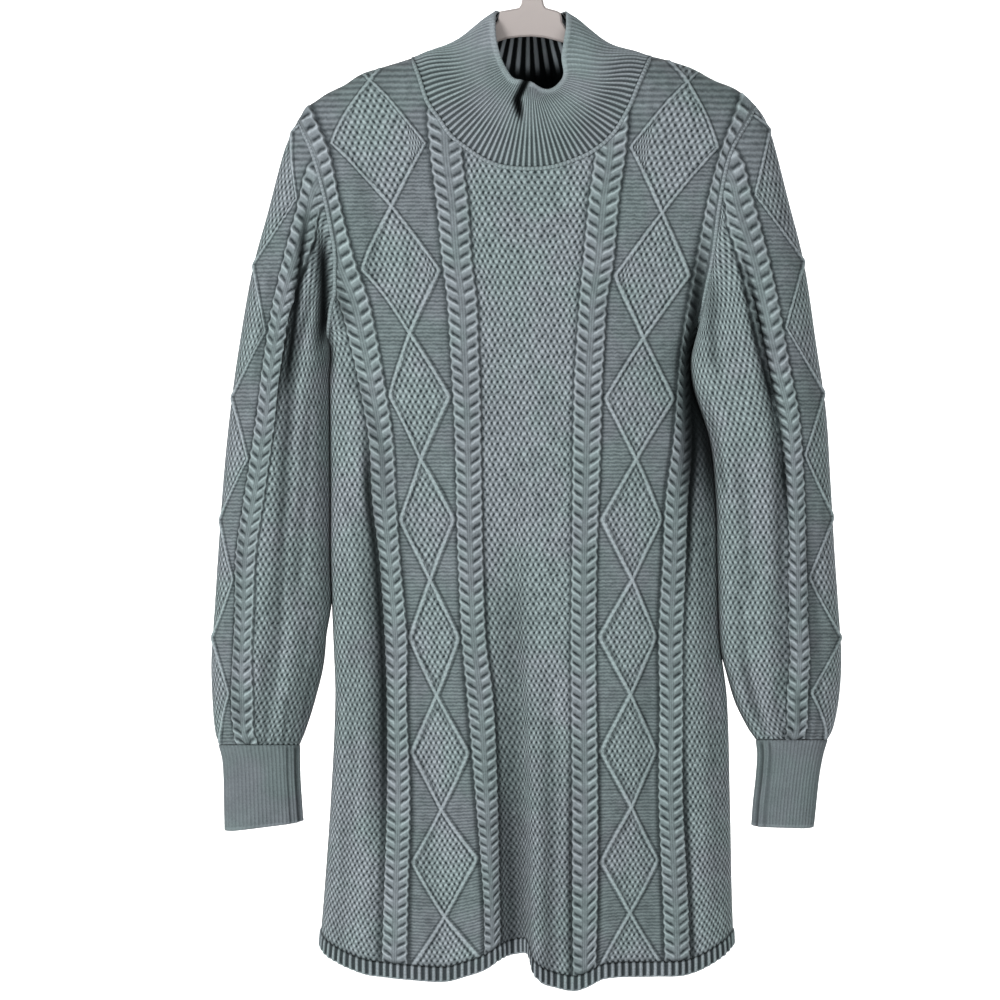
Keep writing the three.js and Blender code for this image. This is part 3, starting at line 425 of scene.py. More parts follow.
def uv(tree, name):
    node = tree.nodes.new("ShaderNodeUVMap")
    node.uv_map = name
    split = tree.nodes.new("ShaderNodeSeparateXYZ")
    tree.links.new(node.outputs["UV"], split.inputs[0])
    return Val(tree, split.outputs[0]), Val(tree, split.outputs[1])


def noise(tree, scale, detail=2.0, rough=0.5, stretch=(1, 1, 1)):
    coords = tree.nodes.new("ShaderNodeTexCoord")
    mapping = tree.nodes.new("ShaderNodeMapping")
    mapping.inputs["Scale"].default_value = stretch
    tree.links.new(coords.outputs["Object"], mapping.inputs["Vector"])
    node = tree.nodes.new("ShaderNodeTexNoise")
    node.inputs["Scale"].default_value = scale
    node.inputs["Detail"].default_value = detail
    node.inputs["Roughness"].default_value = rough
    tree.links.new(mapping.outputs[0], node.inputs["Vector"])
    return Val(tree, node.outputs["Fac"])


def mix_colour(tree, factor, a, b, blend="MIX"):
    node = tree.nodes.new("ShaderNodeMix")
    node.data_type = "RGBA"
    node.blend_type = blend
    node.clamp_factor = True
    inputs = [s for s in node.inputs if s.enabled]
    for socket, value in zip(inputs, (factor, a, b)):
        if isinstance(value, Val):
            tree.links.new(value.socket, socket)
        elif hasattr(value, "is_output"):
            tree.links.new(value, socket)
        elif isinstance(value, (int, float)):
            socket.default_value = value
        else:
            socket.default_value = (*value, 1.0)
    return [s for s in node.outputs if s.enabled][0]


# the knit's tone runs from DARK in the painted shade of the recesses to LIGHT on the painted highlight of the crests;
# BLACK is the painted shade in the deepest folds and creases
DARK = (0.021, 0.030, 0.033)
BLACK = (0.002, 0.003, 0.003)
LIGHT = (0.402, 0.477, 0.498)
GREENISH = (0.97, 1.02, 0.99)
PURPLISH = (1.05, 1.0, 1.03)


def cloth_finish(tree, bsdf, tone, height, dark=DARK, light=LIGHT, fibre=0.22, shade=None):
    """Colour from the tone, washed and mottled, darkened towards BLACK and stripped of sheen where the shade map paints
    shade, with bump in mm.
    """
    patches = noise(tree, 16.0, 3.0, 0.55)
    cloudy = noise(tree, 60.0, 3.0, 0.6)
    fibres = noise(tree, 700.0, 3.0, 0.65)
    level = f_min(f_max(tone * (1.0 + (cloudy - 0.5) * 0.5) + (fibres - 0.5) * (0.10 + 0.62 * f_min(tone, 0.8)), 0.0), 1.0)
    base = mix_colour(tree, level, dark, light)
    tint = mix_colour(tree, step(0.38, 0.62, patches), GREENISH, PURPLISH)
    colour = mix_colour(tree, 1.0, base, tint, "MULTIPLY")
    # painted shade: the shade map darkens the colour towards BLACK and takes away the sheen there
    if shade is not None:
        hidden = f_min(f_max(shade, 0.0), 1.0)
        colour = mix_colour(tree, hidden * 0.88, colour, BLACK)
        tree.links.new((0.08 - hidden * 0.08).socket, bsdf.inputs["Sheen Weight"])
    tree.links.new(colour, bsdf.inputs["Base Color"])
    bump = tree.nodes.new("ShaderNodeBump")
    bump.inputs["Strength"].default_value = 1.0
    bump.inputs["Distance"].default_value = 0.001
    total = height + (fibres - 0.5) * fibre * 2.0
    tree.links.new(total.socket, bump.inputs["Height"])
    tree.links.new(bump.outputs["Normal"], bsdf.inputs["Normal"])
    bsdf.inputs["Roughness"].default_value = 0.95
    bsdf.inputs["Specular IOR Level"].default_value = 0.12
    bsdf.inputs["Sheen Weight"].default_value = 0.08
    bsdf.inputs["Sheen Roughness"].default_value = 0.6


def knit_material():
    m, tree, bsdf = new_material("cable_knit")
    strip, row = uv(tree, "knit")
    stitch, wide = uv(tree, "knit2")
    shade, _ = uv(tree, "shade")
    # no two stitches are alike
    slip = noise(tree, 190.0, 1.0, 0.5, (1.0, 1.0, 1.3))
    drift = noise(tree, 240.0, 1.0, 0.5, (1.3, 1.0, 1.0))
    patchy = noise(tree, 150.0, 2.0, 0.6)
    p = knit(strip, row + (drift - 0.5) * 0.020, stitch + (slip - 0.5) * 0.55, wide)
    # the tone is darkened by the painted shade of the shade map
    tone = f_max(knit_tone(p) + (patchy - 0.5) * 0.32, 0.0) * (1.0 - shade)
    cloth_finish(tree, bsdf, tone, knit_fine(p), shade=shade)
    return m


def rib_parts(rib, up, crest, rim, foot):
    """rib counts the ribs, up runs from 0 at the seam to 1 at the free edge."""
    wave = f_cos(TAU * rib)
    ridge = step(-crest, 0.75, wave)
    edge = step(1.0 - rim, 1.0 - rim * 0.6, up) if rim else 0.0 * up
    seam = 1.0 - step(0.0, foot, up)
    return ridge, edge, seam


def rib_material(name, crest, low, high, rim, foot, bump, stitches, rim_groove_tone=None, fade_from=0.3, rim_tone=0.80, join=0.75):
    m, tree, bsdf = new_material(name)
    rib, up = uv(tree, "rib")
    shade, _ = uv(tree, "shade")
    ridge, edge, seam = rib_parts(rib, up, crest, rim, foot)
    chain = f_cos(TAU * stitches * up + 1.2 * f_cos(TAU * rib))
    # towards the free edge the painted shade in the grooves gives way to a lighter tone
    if rim_groove_tone is not None:
        low = low + (rim_groove_tone - low) * step(fade_from, fade_from + 0.45, up)
    # grooves darker than crests: painted shade in the grooves
    tone = low + (high - low) * ridge * (0.93 + 0.07 * chain)
    tone = tone * (1.0 - edge) + rim_tone * edge
    # painted shade along the seam where the rib meets the cloth, and from the shade map
    tone = tone * (1.0 - join * seam) * (1.0 - shade)
    height = bump * ridge * (1.0 - 0.7 * edge) + 0.12 * chain * ridge + 0.8 * edge
    cloth_finish(tree, bsdf, tone, height, shade=shade)
    return m


def plain_material(name, tone):
    m, tree, bsdf = new_material(name)
    rib, up = uv(tree, "rib")
    chain = f_cos(TAU * rib)
    # the welt's stitches lighter on their crests and darker between them: painted light and shade that follows the bump
    cloth_finish(tree, bsdf, tone + 0.10 * chain, 0.35 * chain)
    return m


def hanger_material():
    m, tree, bsdf = new_material("moulded_plastic")
    cloud = noise(tree, 30.0, 2.0)
    colour = mix_colour(tree, cloud, (0.43, 0.388, 0.372), (0.47, 0.422, 0.405))
    tree.links.new(colour, bsdf.inputs["Base Color"])
    bump = tree.nodes.new("ShaderNodeBump")
    bump.inputs["Distance"].default_value = 0.0002
    grain = noise(tree, 900.0, 2.0)
    tree.links.new(grain.socket, bump.inputs["Height"])
    bump.inputs["Strength"].default_value = 0.4
    tree.links.new(bump.outputs["Normal"], bsdf.inputs["Normal"])
    bsdf.inputs["Roughness"].default_value = 0.42
    bsdf.inputs["Specular IOR Level"].default_value = 0.4
    return m


KNIT = knit_material()
COLLAR_RIB = rib_material("collar_rib", 0.80, 0.09, 0.72, 0.085, 0.05, 0.9, 24.0, rim_groove_tone=0.46, fade_from=0.30, rim_tone=0.70)
HEM_RIB = rib_material("hem_rib", 0.62, 0.04, 0.67, 0.12, 0.16, 1.1, 5.0, rim_tone=0.55)
CUFF_RIB = rib_material("cuff_rib", 0.9, 0.285, 0.36, 0.05, 0.02, 0.25, 26.0, rim_tone=0.44, join=0.1)
WELT = plain_material("seam_welt", 0.60)
PLASTIC = hanger_material()


# --------------------------------------------------------- meshes from grids
def outward(grid, closed, flip):
    if closed:
        across = np.roll(grid, -1, 1) - np.roll(grid, 1, 1)
    else:
        across = np.gradient(grid, axis=1)
    down = np.gradient(grid, axis=0)
    v = np.cross(down, across) * (-1 if flip else 1)
    length = np.linalg.norm(v, axis=2, keepdims=True)
    v = v / np.maximum(length, 1e-9)
    bad = length[..., 0] < 1e-7
    if bad.any():
        v[bad] = (0, 0, 1)
    return v


def shell(name, outer, inner, maps, closed, flip, material, rows=4, cols=4, inner_maps=None):
    """Closed thin wall: a fine outer grid, an inner grid with every rows-th and cols-th point, and rims."""
    m = outer.shape[0] - 1
    n = outer.shape[1] if closed else outer.shape[1] - 1
    mc, nc = m // rows, n // cols
    nv, ni = outer.shape[1], inner.shape[1]
    start = outer.shape[0] * nv

    def fine(j, i):
        return j * nv + (i % nv), j * (n + 1) + i

    def coarse(j, i):
        return start + j * ni + (i % ni), (j * rows) * (n + 1) + i * cols

    def polygons(points, kind):
        ids = np.stack([p[0].ravel() for p in points], 1)
        uvs = np.stack([p[1].ravel() for p in points], 1)
        return ids, uvs, np.full(len(ids), kind)

    groups = []
    J, I = np.meshgrid(np.arange(m), np.arange(n), indexing="ij")
    groups.append(polygons([fine(J, I), fine(J + 1, I), fine(J + 1, I + 1), fine(J, I + 1)], 0))
    J, I = np.meshgrid(np.arange(mc), np.arange(nc), indexing="ij")
    groups.append(polygons([coarse(J, I), coarse(J, I + 1), coarse(J + 1, I + 1), coarse(J + 1, I)], 1))
    C = np.arange(nc)
    zero = np.zeros_like(C)
    groups.append(polygons([fine(zero, C * cols + k) for k in range(cols + 1)] + [coarse(zero, C + 1), coarse(zero, C)], 2))
    groups.append(polygons([fine(zero + m, C * cols + cols - k) for k in range(cols + 1)] + [coarse(zero + mc, C), coarse(zero + mc, C + 1)], 3))
    if not closed:
        R = np.arange(mc)
        zero = np.zeros_like(R)
        groups.append(polygons([fine(R * rows + rows - k, zero) for k in range(rows + 1)] + [coarse(R, zero), coarse(R + 1, zero)], 4))
        groups.append(polygons([fine(R * rows + k, zero + n) for k in range(rows + 1)] + [coarse(R + 1, zero + nc), coarse(R, zero + nc)], 5))
    if flip:
        groups = [(ids[:, ::-1], uvs[:, ::-1], kind) for ids, uvs, kind in groups]
    points = np.concatenate([outer.reshape(-1, 3), inner.reshape(-1, 3)]) / 1000.0
    loops = np.concatenate([g[0].ravel() for g in groups]).astype(np.int32)
    spots = np.concatenate([g[1].ravel() for g in groups])
    sizes = np.concatenate([np.full(len(g[0]), g[0].shape[1]) for g in groups])
    kinds = np.concatenate([np.repeat(g[2], g[0].shape[1]) for g in groups])
    mesh = bpy.data.meshes.new(name)
    mesh.vertices.add(len(points))
    mesh.vertices.foreach_set("co", points.astype(np.float32).ravel())
    mesh.loops.add(len(loops))
    mesh.loops.foreach_set("vertex_index", loops)
    mesh.polygons.add(len(sizes))
    starts = np.concatenate([[0], np.cumsum(sizes)[:-1]]).astype(np.int32)
    mesh.polygons.foreach_set("loop_start", starts)
    mesh.polygons.foreach_set("use_smooth", np.ones(len(sizes), bool))
    mesh.update(calc_edges=True)
    # bake layout: the outside on top, the inside and the rims in bands below it
    jj, ii = spots // (n + 1), spots % (n + 1)
    u = 0.01 + 0.98 * ii / n
    v = np.where(kinds == 0, 0.16 + 0.83 * (1 - jj / m), 0.01 + 0.10 * (jj / m))
    inner_loop = loops >= start
    for kind, low in ((2, 0.120), (3, 0.128), (4, 0.136), (5, 0.144)):
        here = kinds == kind
        if kind > 3:
            u = np.where(here, 0.01 + 0.98 * jj / m, u)
        v = np.where(here, low + 0.005 * inner_loop, v)
    layers = dict(maps)
    layer = mesh.uv_layers.new(name="OFBake")
    layer.data.foreach_set("uv", np.stack([u, v], 1).astype(np.float32).ravel())
    for key, (a, b) in layers.items():
        layer = mesh.uv_layers.new(name=key)
        flat = np.stack([a.ravel()[spots], b.ravel()[spots]], 1)
        if inner_maps and key in inner_maps:
            a2, b2 = inner_maps[key]
            flat = np.where((kinds == 1)[:, None], np.stack([a2.ravel()[spots], b2.ravel()[spots]], 1), flat)
        layer.data.foreach_set("uv", flat.astype(np.float32).ravel())
    mesh.validate(clean_customdata=False)
    mesh.materials.append(material)
    o = bpy.data.objects.new(name, mesh)
    scene.collection.objects.link(o)
    return o


def grid_area(grid, closed):
    g = np.concatenate([grid, grid[:, :1]], 1) if closed else grid
    a, b, c, d = g[:-1, :-1], g[1:, :-1], g[1:, 1:], g[:-1, 1:]
    area = np.linalg.norm(np.cross(b - a, c - a), axis=2) + np.linalg.norm(np.cross(c - a, d - a), axis=2)
    return area.sum() / 2 / 1e6


def arc(grid):
    """Running length along each row."""
    steps = np.linalg.norm(np.diff(grid, axis=1), axis=2)
    return np.concatenate([np.zeros((len(grid), 1)), np.cumsum(steps, 1)], 1)


def stitch_period(y):
    return np.interp(y, [200, 260, 560, 700], [5.9, 5.2, 5.2, 4.9])


# --------------------------------------------------------------- the panels
def cells(marks):
    out = []
    for a, b, n in marks:
        out.extend(lerp(a, b, np.arange(n) / n))
    return np.array(out + [marks[-1][1]])


COLUMNS = cells([(0, 1, 26), (1, 2, 16), (2, 3, 34), (3, 4, 16), (4, 5, 40), (5, 6, 16), (6, 7, 34), (7, 8, 16), (8, 9, 26)])
UPPER, LOWER = 120, 280


# folds placed one by one: points (picture columns and rows), depth in mm (minus stands proud), width, amount of painted
# shade along the fold
STROKES_FRONT = [
    ([(346, 560), (352, 650), (350, 760), (343, 860), (338, 940)], 3.5, 9, 0.12),
    ([(700, 420), (708, 520), (713, 640), (717, 760), (720, 900)], 3.5, 8, 0.12),
    ([(338, 352), (362, 392), (384, 452), (388, 520)], 4.0, 7, 0.18),
    ([(694, 340), (688, 400), (690, 470)], 4.0, 6, 0.25),
    ([(560, 600), (566, 720), (570, 840), (570, 990)], -3.0, 11, 0.0),
    ([(549, 640), (551, 760), (552, 860), (552, 990)], 3.0, 7, 0.14),
    ([(486, 560), (494, 660), (500, 760)], -2.0, 8, 0.0),
    ([(420, 640), (424, 760), (432, 880), (436, 980)], 2.5, 9, 0.08),
    ([(650, 600), (648, 740), (650, 860), (652, 985)], 2.5, 9, 0.10),
    ([(317, 236), (323, 280), (328, 325), (331, 365), (331, 392)], 3.0, 3.0, 0.50),
    ([(704, 226), (698, 282), (692, 335), (696, 395), (709, 455), (716, 530)], 3.0, 8.0, 0.90),
    ([(470, 178), (520, 196), (575, 190)], 2.0, 9, 0.05),
    ([(511, 520), (513, 680), (516, 860), (519, 990)], 2.5, 17, 0.24), ([(560, 700), (562, 860), (564, 990)], 0.0, 26, 0.10),
    ([(352, 140), (372, 220), (384, 300)], 2.5, 9, 0.08),
]
STROKES_BACK = [
    ([(360, 560), (352, 700), (346, 900)], 3.5, 10, 0.1), ([(700, 480), (708, 640), (712, 900)], 3.5, 10, 0.1),
    ([(470, 520), (462, 700), (458, 940)], 4.0, 12, 0.1), ([(590, 560), (600, 740), (604, 940)], 4.0, 12, 0.1),
    ([(420, 130), (520, 165), (640, 130)], 3.0, 14, 0.0), ([(340, 352), (372, 420), (384, 520)], 3.5, 8, 0.15),
]


def stroke(x, z, points, width):
    """1 on a line drawn through the points, fading over width mm to its sides and past its ends."""
    p = np.array([((px - 530) * PX, -(py + 80) * PX) for px, py in points])
    best = np.full(x.shape, 1e9)
    run = np.concatenate([[0], np.cumsum(np.linalg.norm(np.diff(p, axis=0), axis=1))])
    at = np.zeros(x.shape)
    for k in range(len(p) - 1):
        d = p[k + 1] - p[k]
        f = np.clip(((x - p[k, 0]) * d[0] + (z - p[k, 1]) * d[1]) / (d @ d), 0, 1)
        dist = np.hypot(x - p[k, 0] - f * d[0], z - p[k, 1] - f * d[1])
        at = np.where(dist < best, run[k] + f * (run[k + 1] - run[k]), at)
        best = np.minimum(best, dist)
    open_end = 1.0 if p[-1, 1] < -850 else smooth((run[-1] - at) / (0.3 * run[-1]) + 0.1)
    return np.exp(-(best / width) ** 2) * smooth(at / (0.3 * run[-1]) + 0.1) * open_end


def stroke_depth(strokes, x, z):
    return sum(depth * stroke(x, z, points, width) for points, depth, width, _ in strokes)


def stroke_shade(strokes, x, z):
    # painted shade along each fold, as much as its amount
    clear = np.ones_like(x)
    for points, _, width, amount in strokes:
        if amount:
            clear = clear * (1 - amount * stroke(x, z, points, 0.8 * width))
    return 1 - clear


def soft_waves_front(x, z):
    """Small slack ripples of the hanging cloth, in mm."""
    low = smooth((-430 - z) / 300)
    w = 1.3 * low * np.sin(x / 19.0 + z / 160.0) + 0.9 * smooth((-300 - z) / 200) * np.sin(x / 11.0 - z / 210.0 + 1.3)
    # slack below the neck and across the chest
    w += 1.6 * np.exp(-((z + 262) / 26) ** 2) * np.exp(-((x + 6) / 60) ** 2)
    return w + stroke_depth(STROKES_FRONT, x, z)


def soft_waves_back(x, z):
    low = smooth((-400 - z) / 300)
    w = 1.6 * low * np.sin(x / 21.0 - z / 170.0 + 0.7) + 0.9 * smooth((-260 - z) / 200) * np.sin(x / 12.0 + z / 230.0)
    return w + stroke_depth(STROKES_BACK, x, z)


def panel_base(neck, hem, folds, waves, side):
    c = COLUMNS
    top = top_z(c, neck)
    top[0], top[-1] = TIP_LEFT_Z, TIP_RIGHT_Z
    seam = bottom_z(c, hem) + HEM_BAND
    u = np.arange(UPPER + 1)[:, None] / UPPER
    s = 0.6 * u + 0.4 * (1 - np.cos(np.pi * u)) / 2
    z = np.concatenate([lerp(top[None], PIT_Z, s), lerp(PIT_Z, seam[None], np.arange(1, LOWER + 1)[:, None] / LOWER)])
    cc = np.broadcast_to(c[None], z.shape)
    x = body_x(cc, z)
    y = side * body_depth(cc, z, folds, waves)
    return np.stack([x, y, z], 2), cc, seam


# painted shade in the deep folds: line, mm beside it, top, full, fade, end, width, amount
SHADES_FRONT = [
    (1, -2.8, -430, -500, -690, -850, 4.2, 0.86), (1, -10, -470, -600, -720, -850, 10, 0.32), (1, -2.0, -640, -760, 0, 0, 2.2, 0.40), (2, 1.5, -480, -620, 0, 0, 1.8, 0.35),
    (4, 1.2, -480, -620, 0, 0, 2.0, 0.45), (4, 12, -620, -840, 0, 0, 9, 0.26), (5, -1.5, -700, -820, 0, 0, 2.0, 0.55),
    (8, 1.6, -230, -290, -520, -640, 3.0, 0.85), (8, 11, -290, -340, -430, -640, 13, 0.34), (8, 1.6, -700, -780, 0, 0, 2.2, 0.55),
    (7, -1.2, -300, -420, 0, 0, 1.8, 0.35), (3, -1.2, -560, -700, 0, 0, 1.8, 0.30), (6, 1.2, -640, -760, 0, 0, 1.8, 0.35),
    (2, -26, -205, -240, -340, -372, 7, 0.30), (8, -0.5, -345, -370, -455, -540, 9.0, 0.90),
]
SHADES_BACK = [(k, s, -300, -420, 0, 0, 2.0, 0.4) for k, s in ((1, -1.4), (2, 1.4), (3, -1.4), (4, 1.4), (5, -1.4), (6, 1.4), (7, -1.4), (8, 1.4))]


# painted shade in the folds listed in the SHADES tables
def recess(shades, x, z):
    total = np.ones_like(x)
    for line, shift, top, full, fade, end, width, amount in shades:
        grow = smooth((top - z) / (top - full))
        if end:
            grow = grow * (1 - smooth((fade - z) / (fade - end)))
        total *= 1 - amount * grow * np.exp(-((x - line_x(line, z) - shift) / width) ** 2)
    return 1 - total


def panel(name, neck, hem, folds, waves, side, shades):
    base, cc, seam = panel_base(neck, hem, folds, waves, side)
    z = base[..., 2]
    y_px = -z / PX - 80
    seam_px = -seam[None] / PX - 80
    y_row = y_px - (seam_px - 965) * smooth((y_px - 760) / 205)
    strip = strand(cc, z)
    row = lerp(diamonds(CROSS_LEFT, y_row), diamonds(CROSS_RIGHT, y_row), smooth((strip - 2.5) / 4))
    along = arc(base)
    period = stitch_period(y_px[:, :1])
    spots = np.arange(0, 9.01, 0.5)
    at = np.stack([np.array([np.interp(s, strip[j], along[j]) for s in spots]) for j in range(len(z))])
    stitch = np.zeros_like(z)
    for k in range(9):
        here = np.floor(np.clip(strip, 0, 8.999)) == k
        if k % 2 == 0:
            w = (along - at[:, 2 * k + 1:2 * k + 2]) / period
        else:
            left = (at[:, 2 * k:2 * k + 1] - at[:, 2 * k - 1:2 * k]) / period
            right = (at[:, 2 * k + 2:2 * k + 3] - at[:, 2 * k + 3:2 * k + 4]) / period
            w = lerp(left, right, strip - k)
        stitch = np.where(here, w, stitch)
    wide = np.where(cc < 4.5, at[:, 6:7] - at[:, 4:5], at[:, 14:15] - at[:, 12:13])
    parts = knit(np.clip(strip, 0, 8.9999), row, stitch, wide, 1.0)
    relief = knit_relief(parts)
    # the relief dies away in the seams
    n = outward(base, False, side > 0)
    m1, n1 = z.shape
    to_side = np.minimum(along, along[:, -1:] - along)
    down = np.concatenate([np.zeros((1, n1)), np.cumsum(np.linalg.norm(np.diff(base, axis=0), axis=2), 0)])
    to_end = np.minimum(down, down[-1:] - down)
    fade = smooth(to_side / 5.0) * smooth(to_end / 7.0)
    outer = base + n * (relief * fade - 0.5)[..., None]
    inner = (base - n * WALL)[::4, ::4]
    # painted shade along the folds of the SHADES tables and the strokes
    shade = recess(shades, base[..., 0], z)
    shade = 1 - (1 - shade) * (1 - stroke_shade(STROKES_FRONT if side < 0 else STROKES_BACK, base[..., 0], z))
    # painted shade in the join where the panel's bottom edge meets the hem
    shade = np.maximum(shade, 0.92 * np.exp(-((down[-1:] - down) / 1.8) ** 2))
    maps = {"knit": (np.clip(strip, 0, 9), row), "knit2": (stitch, wide), "shade": (shade, np.zeros_like(shade))}
    o = shell(name + "_knit", outer, inner, maps, False, side > 0, KNIT)
    return o, base


# -------------------------------------------------------------- the sleeves
def tube(table, creases, r, f, front):
    """Points of a sleeve: r is the section number, f the share from the outer to the inner edge."""
    t = [[k, *row] for k, row in enumerate(table)]
    ox, oz, ix, iz, depth, bow = [curve(t, r, k + 1) for k in range(6)]
    wide = (1 - np.abs(1 - 2 * f) ** 2.2) ** (1 / 2.2)
    lean = bow * np.sin(np.pi * f) * smooth((0.98 - f) / 0.5)
    deep = depth * wide
    chord = np.hypot(ix - ox, iz - oz)
    for top_side, low_side, first, full, last, d, width, hidden in creases:
        side = lerp(top_side, low_side, np.clip((r - first) / (last - first), 0, 1))
        grow = smooth((r - first) / (full - first)) * (1 - 0.7 * smooth((r - full) / (last - full)))
        deep = deep - wide * np.where(front, 1.0, hidden) * d * grow * np.exp(-((f - side) * chord / width) ** 2)
    x = lerp(ox, ix, f) + lean
    z = lerp(oz, iz, f)
    return np.stack([x, np.where(front, -1, 1) * np.maximum(deep, 0), z], -1)


def ring_shares(n):
    """n columns round a tube, from the outer edge over the front, and back over the back."""
    k = np.arange(n)
    half = n // 2
    u = np.where(k <= half, k, n - k) / half
    return 0.35 * u + 0.65 * (1 - np.cos(np.pi * u)) / 2, k <= half


# folds of the sleeves: points (picture columns and rows), depth in mm, width, amount of painted shade along the fold
STROKES_LEFT = [
    ([(321, 230), (323, 258), (324, 290), (323, 320), (320, 354)], 5.0, 4.8, 0.98),
    ([(308, 196), (304, 232), (300, 265), (297, 296), (293, 332), (288, 370), (283, 412)], 4.5, 4.4, 0.97),
    ([(317, 200), (321, 270), (325, 360), (326, 420)], 2.0, 11, 0.26),
    ([(312, 360), (306, 440), (300, 540), (292, 640)], 2.5, 7, 0.20), ([(276, 250), (262, 330), (252, 400)], 1.5, 4, 0.20),
    ([(316, 650), (308, 690), (300, 735)], 2.0, 5, 0.35), ([(268, 640), (266, 690), (262, 735)], 2.0, 5, 0.15),
    ([(240, 690), (238, 735)], 1.5, 5, 0.2), ([(288, 690), (284, 735)], 1.5, 4, 0.2),
]
STROKES_RIGHT = [
    ([(738, 232), (748, 274), (755, 298), (761, 326), (768, 362), (774, 392), (781, 434), (786, 484), (789, 550)], 4.5, 3.4, 0.97), ([(716, 270), (712, 330), (716, 380)], 3.0, 6, 0.30),
    ([(736, 430), (744, 520), (752, 620)], 2.5, 7, 0.18), ([(786, 520), (788, 640), (786, 720)], 2.0, 4, 0.35),
    ([(740, 650), (752, 700), (764, 735)], 2.0, 5, 0.35), ([(800, 690), (802, 730)], 1.5, 5, 0.2), ([(776, 690), (778, 730)], 1.5, 4, 0.2),
    ([(704, 395), (716, 440), (724, 500)], 2.0, 4, 0.25),
]


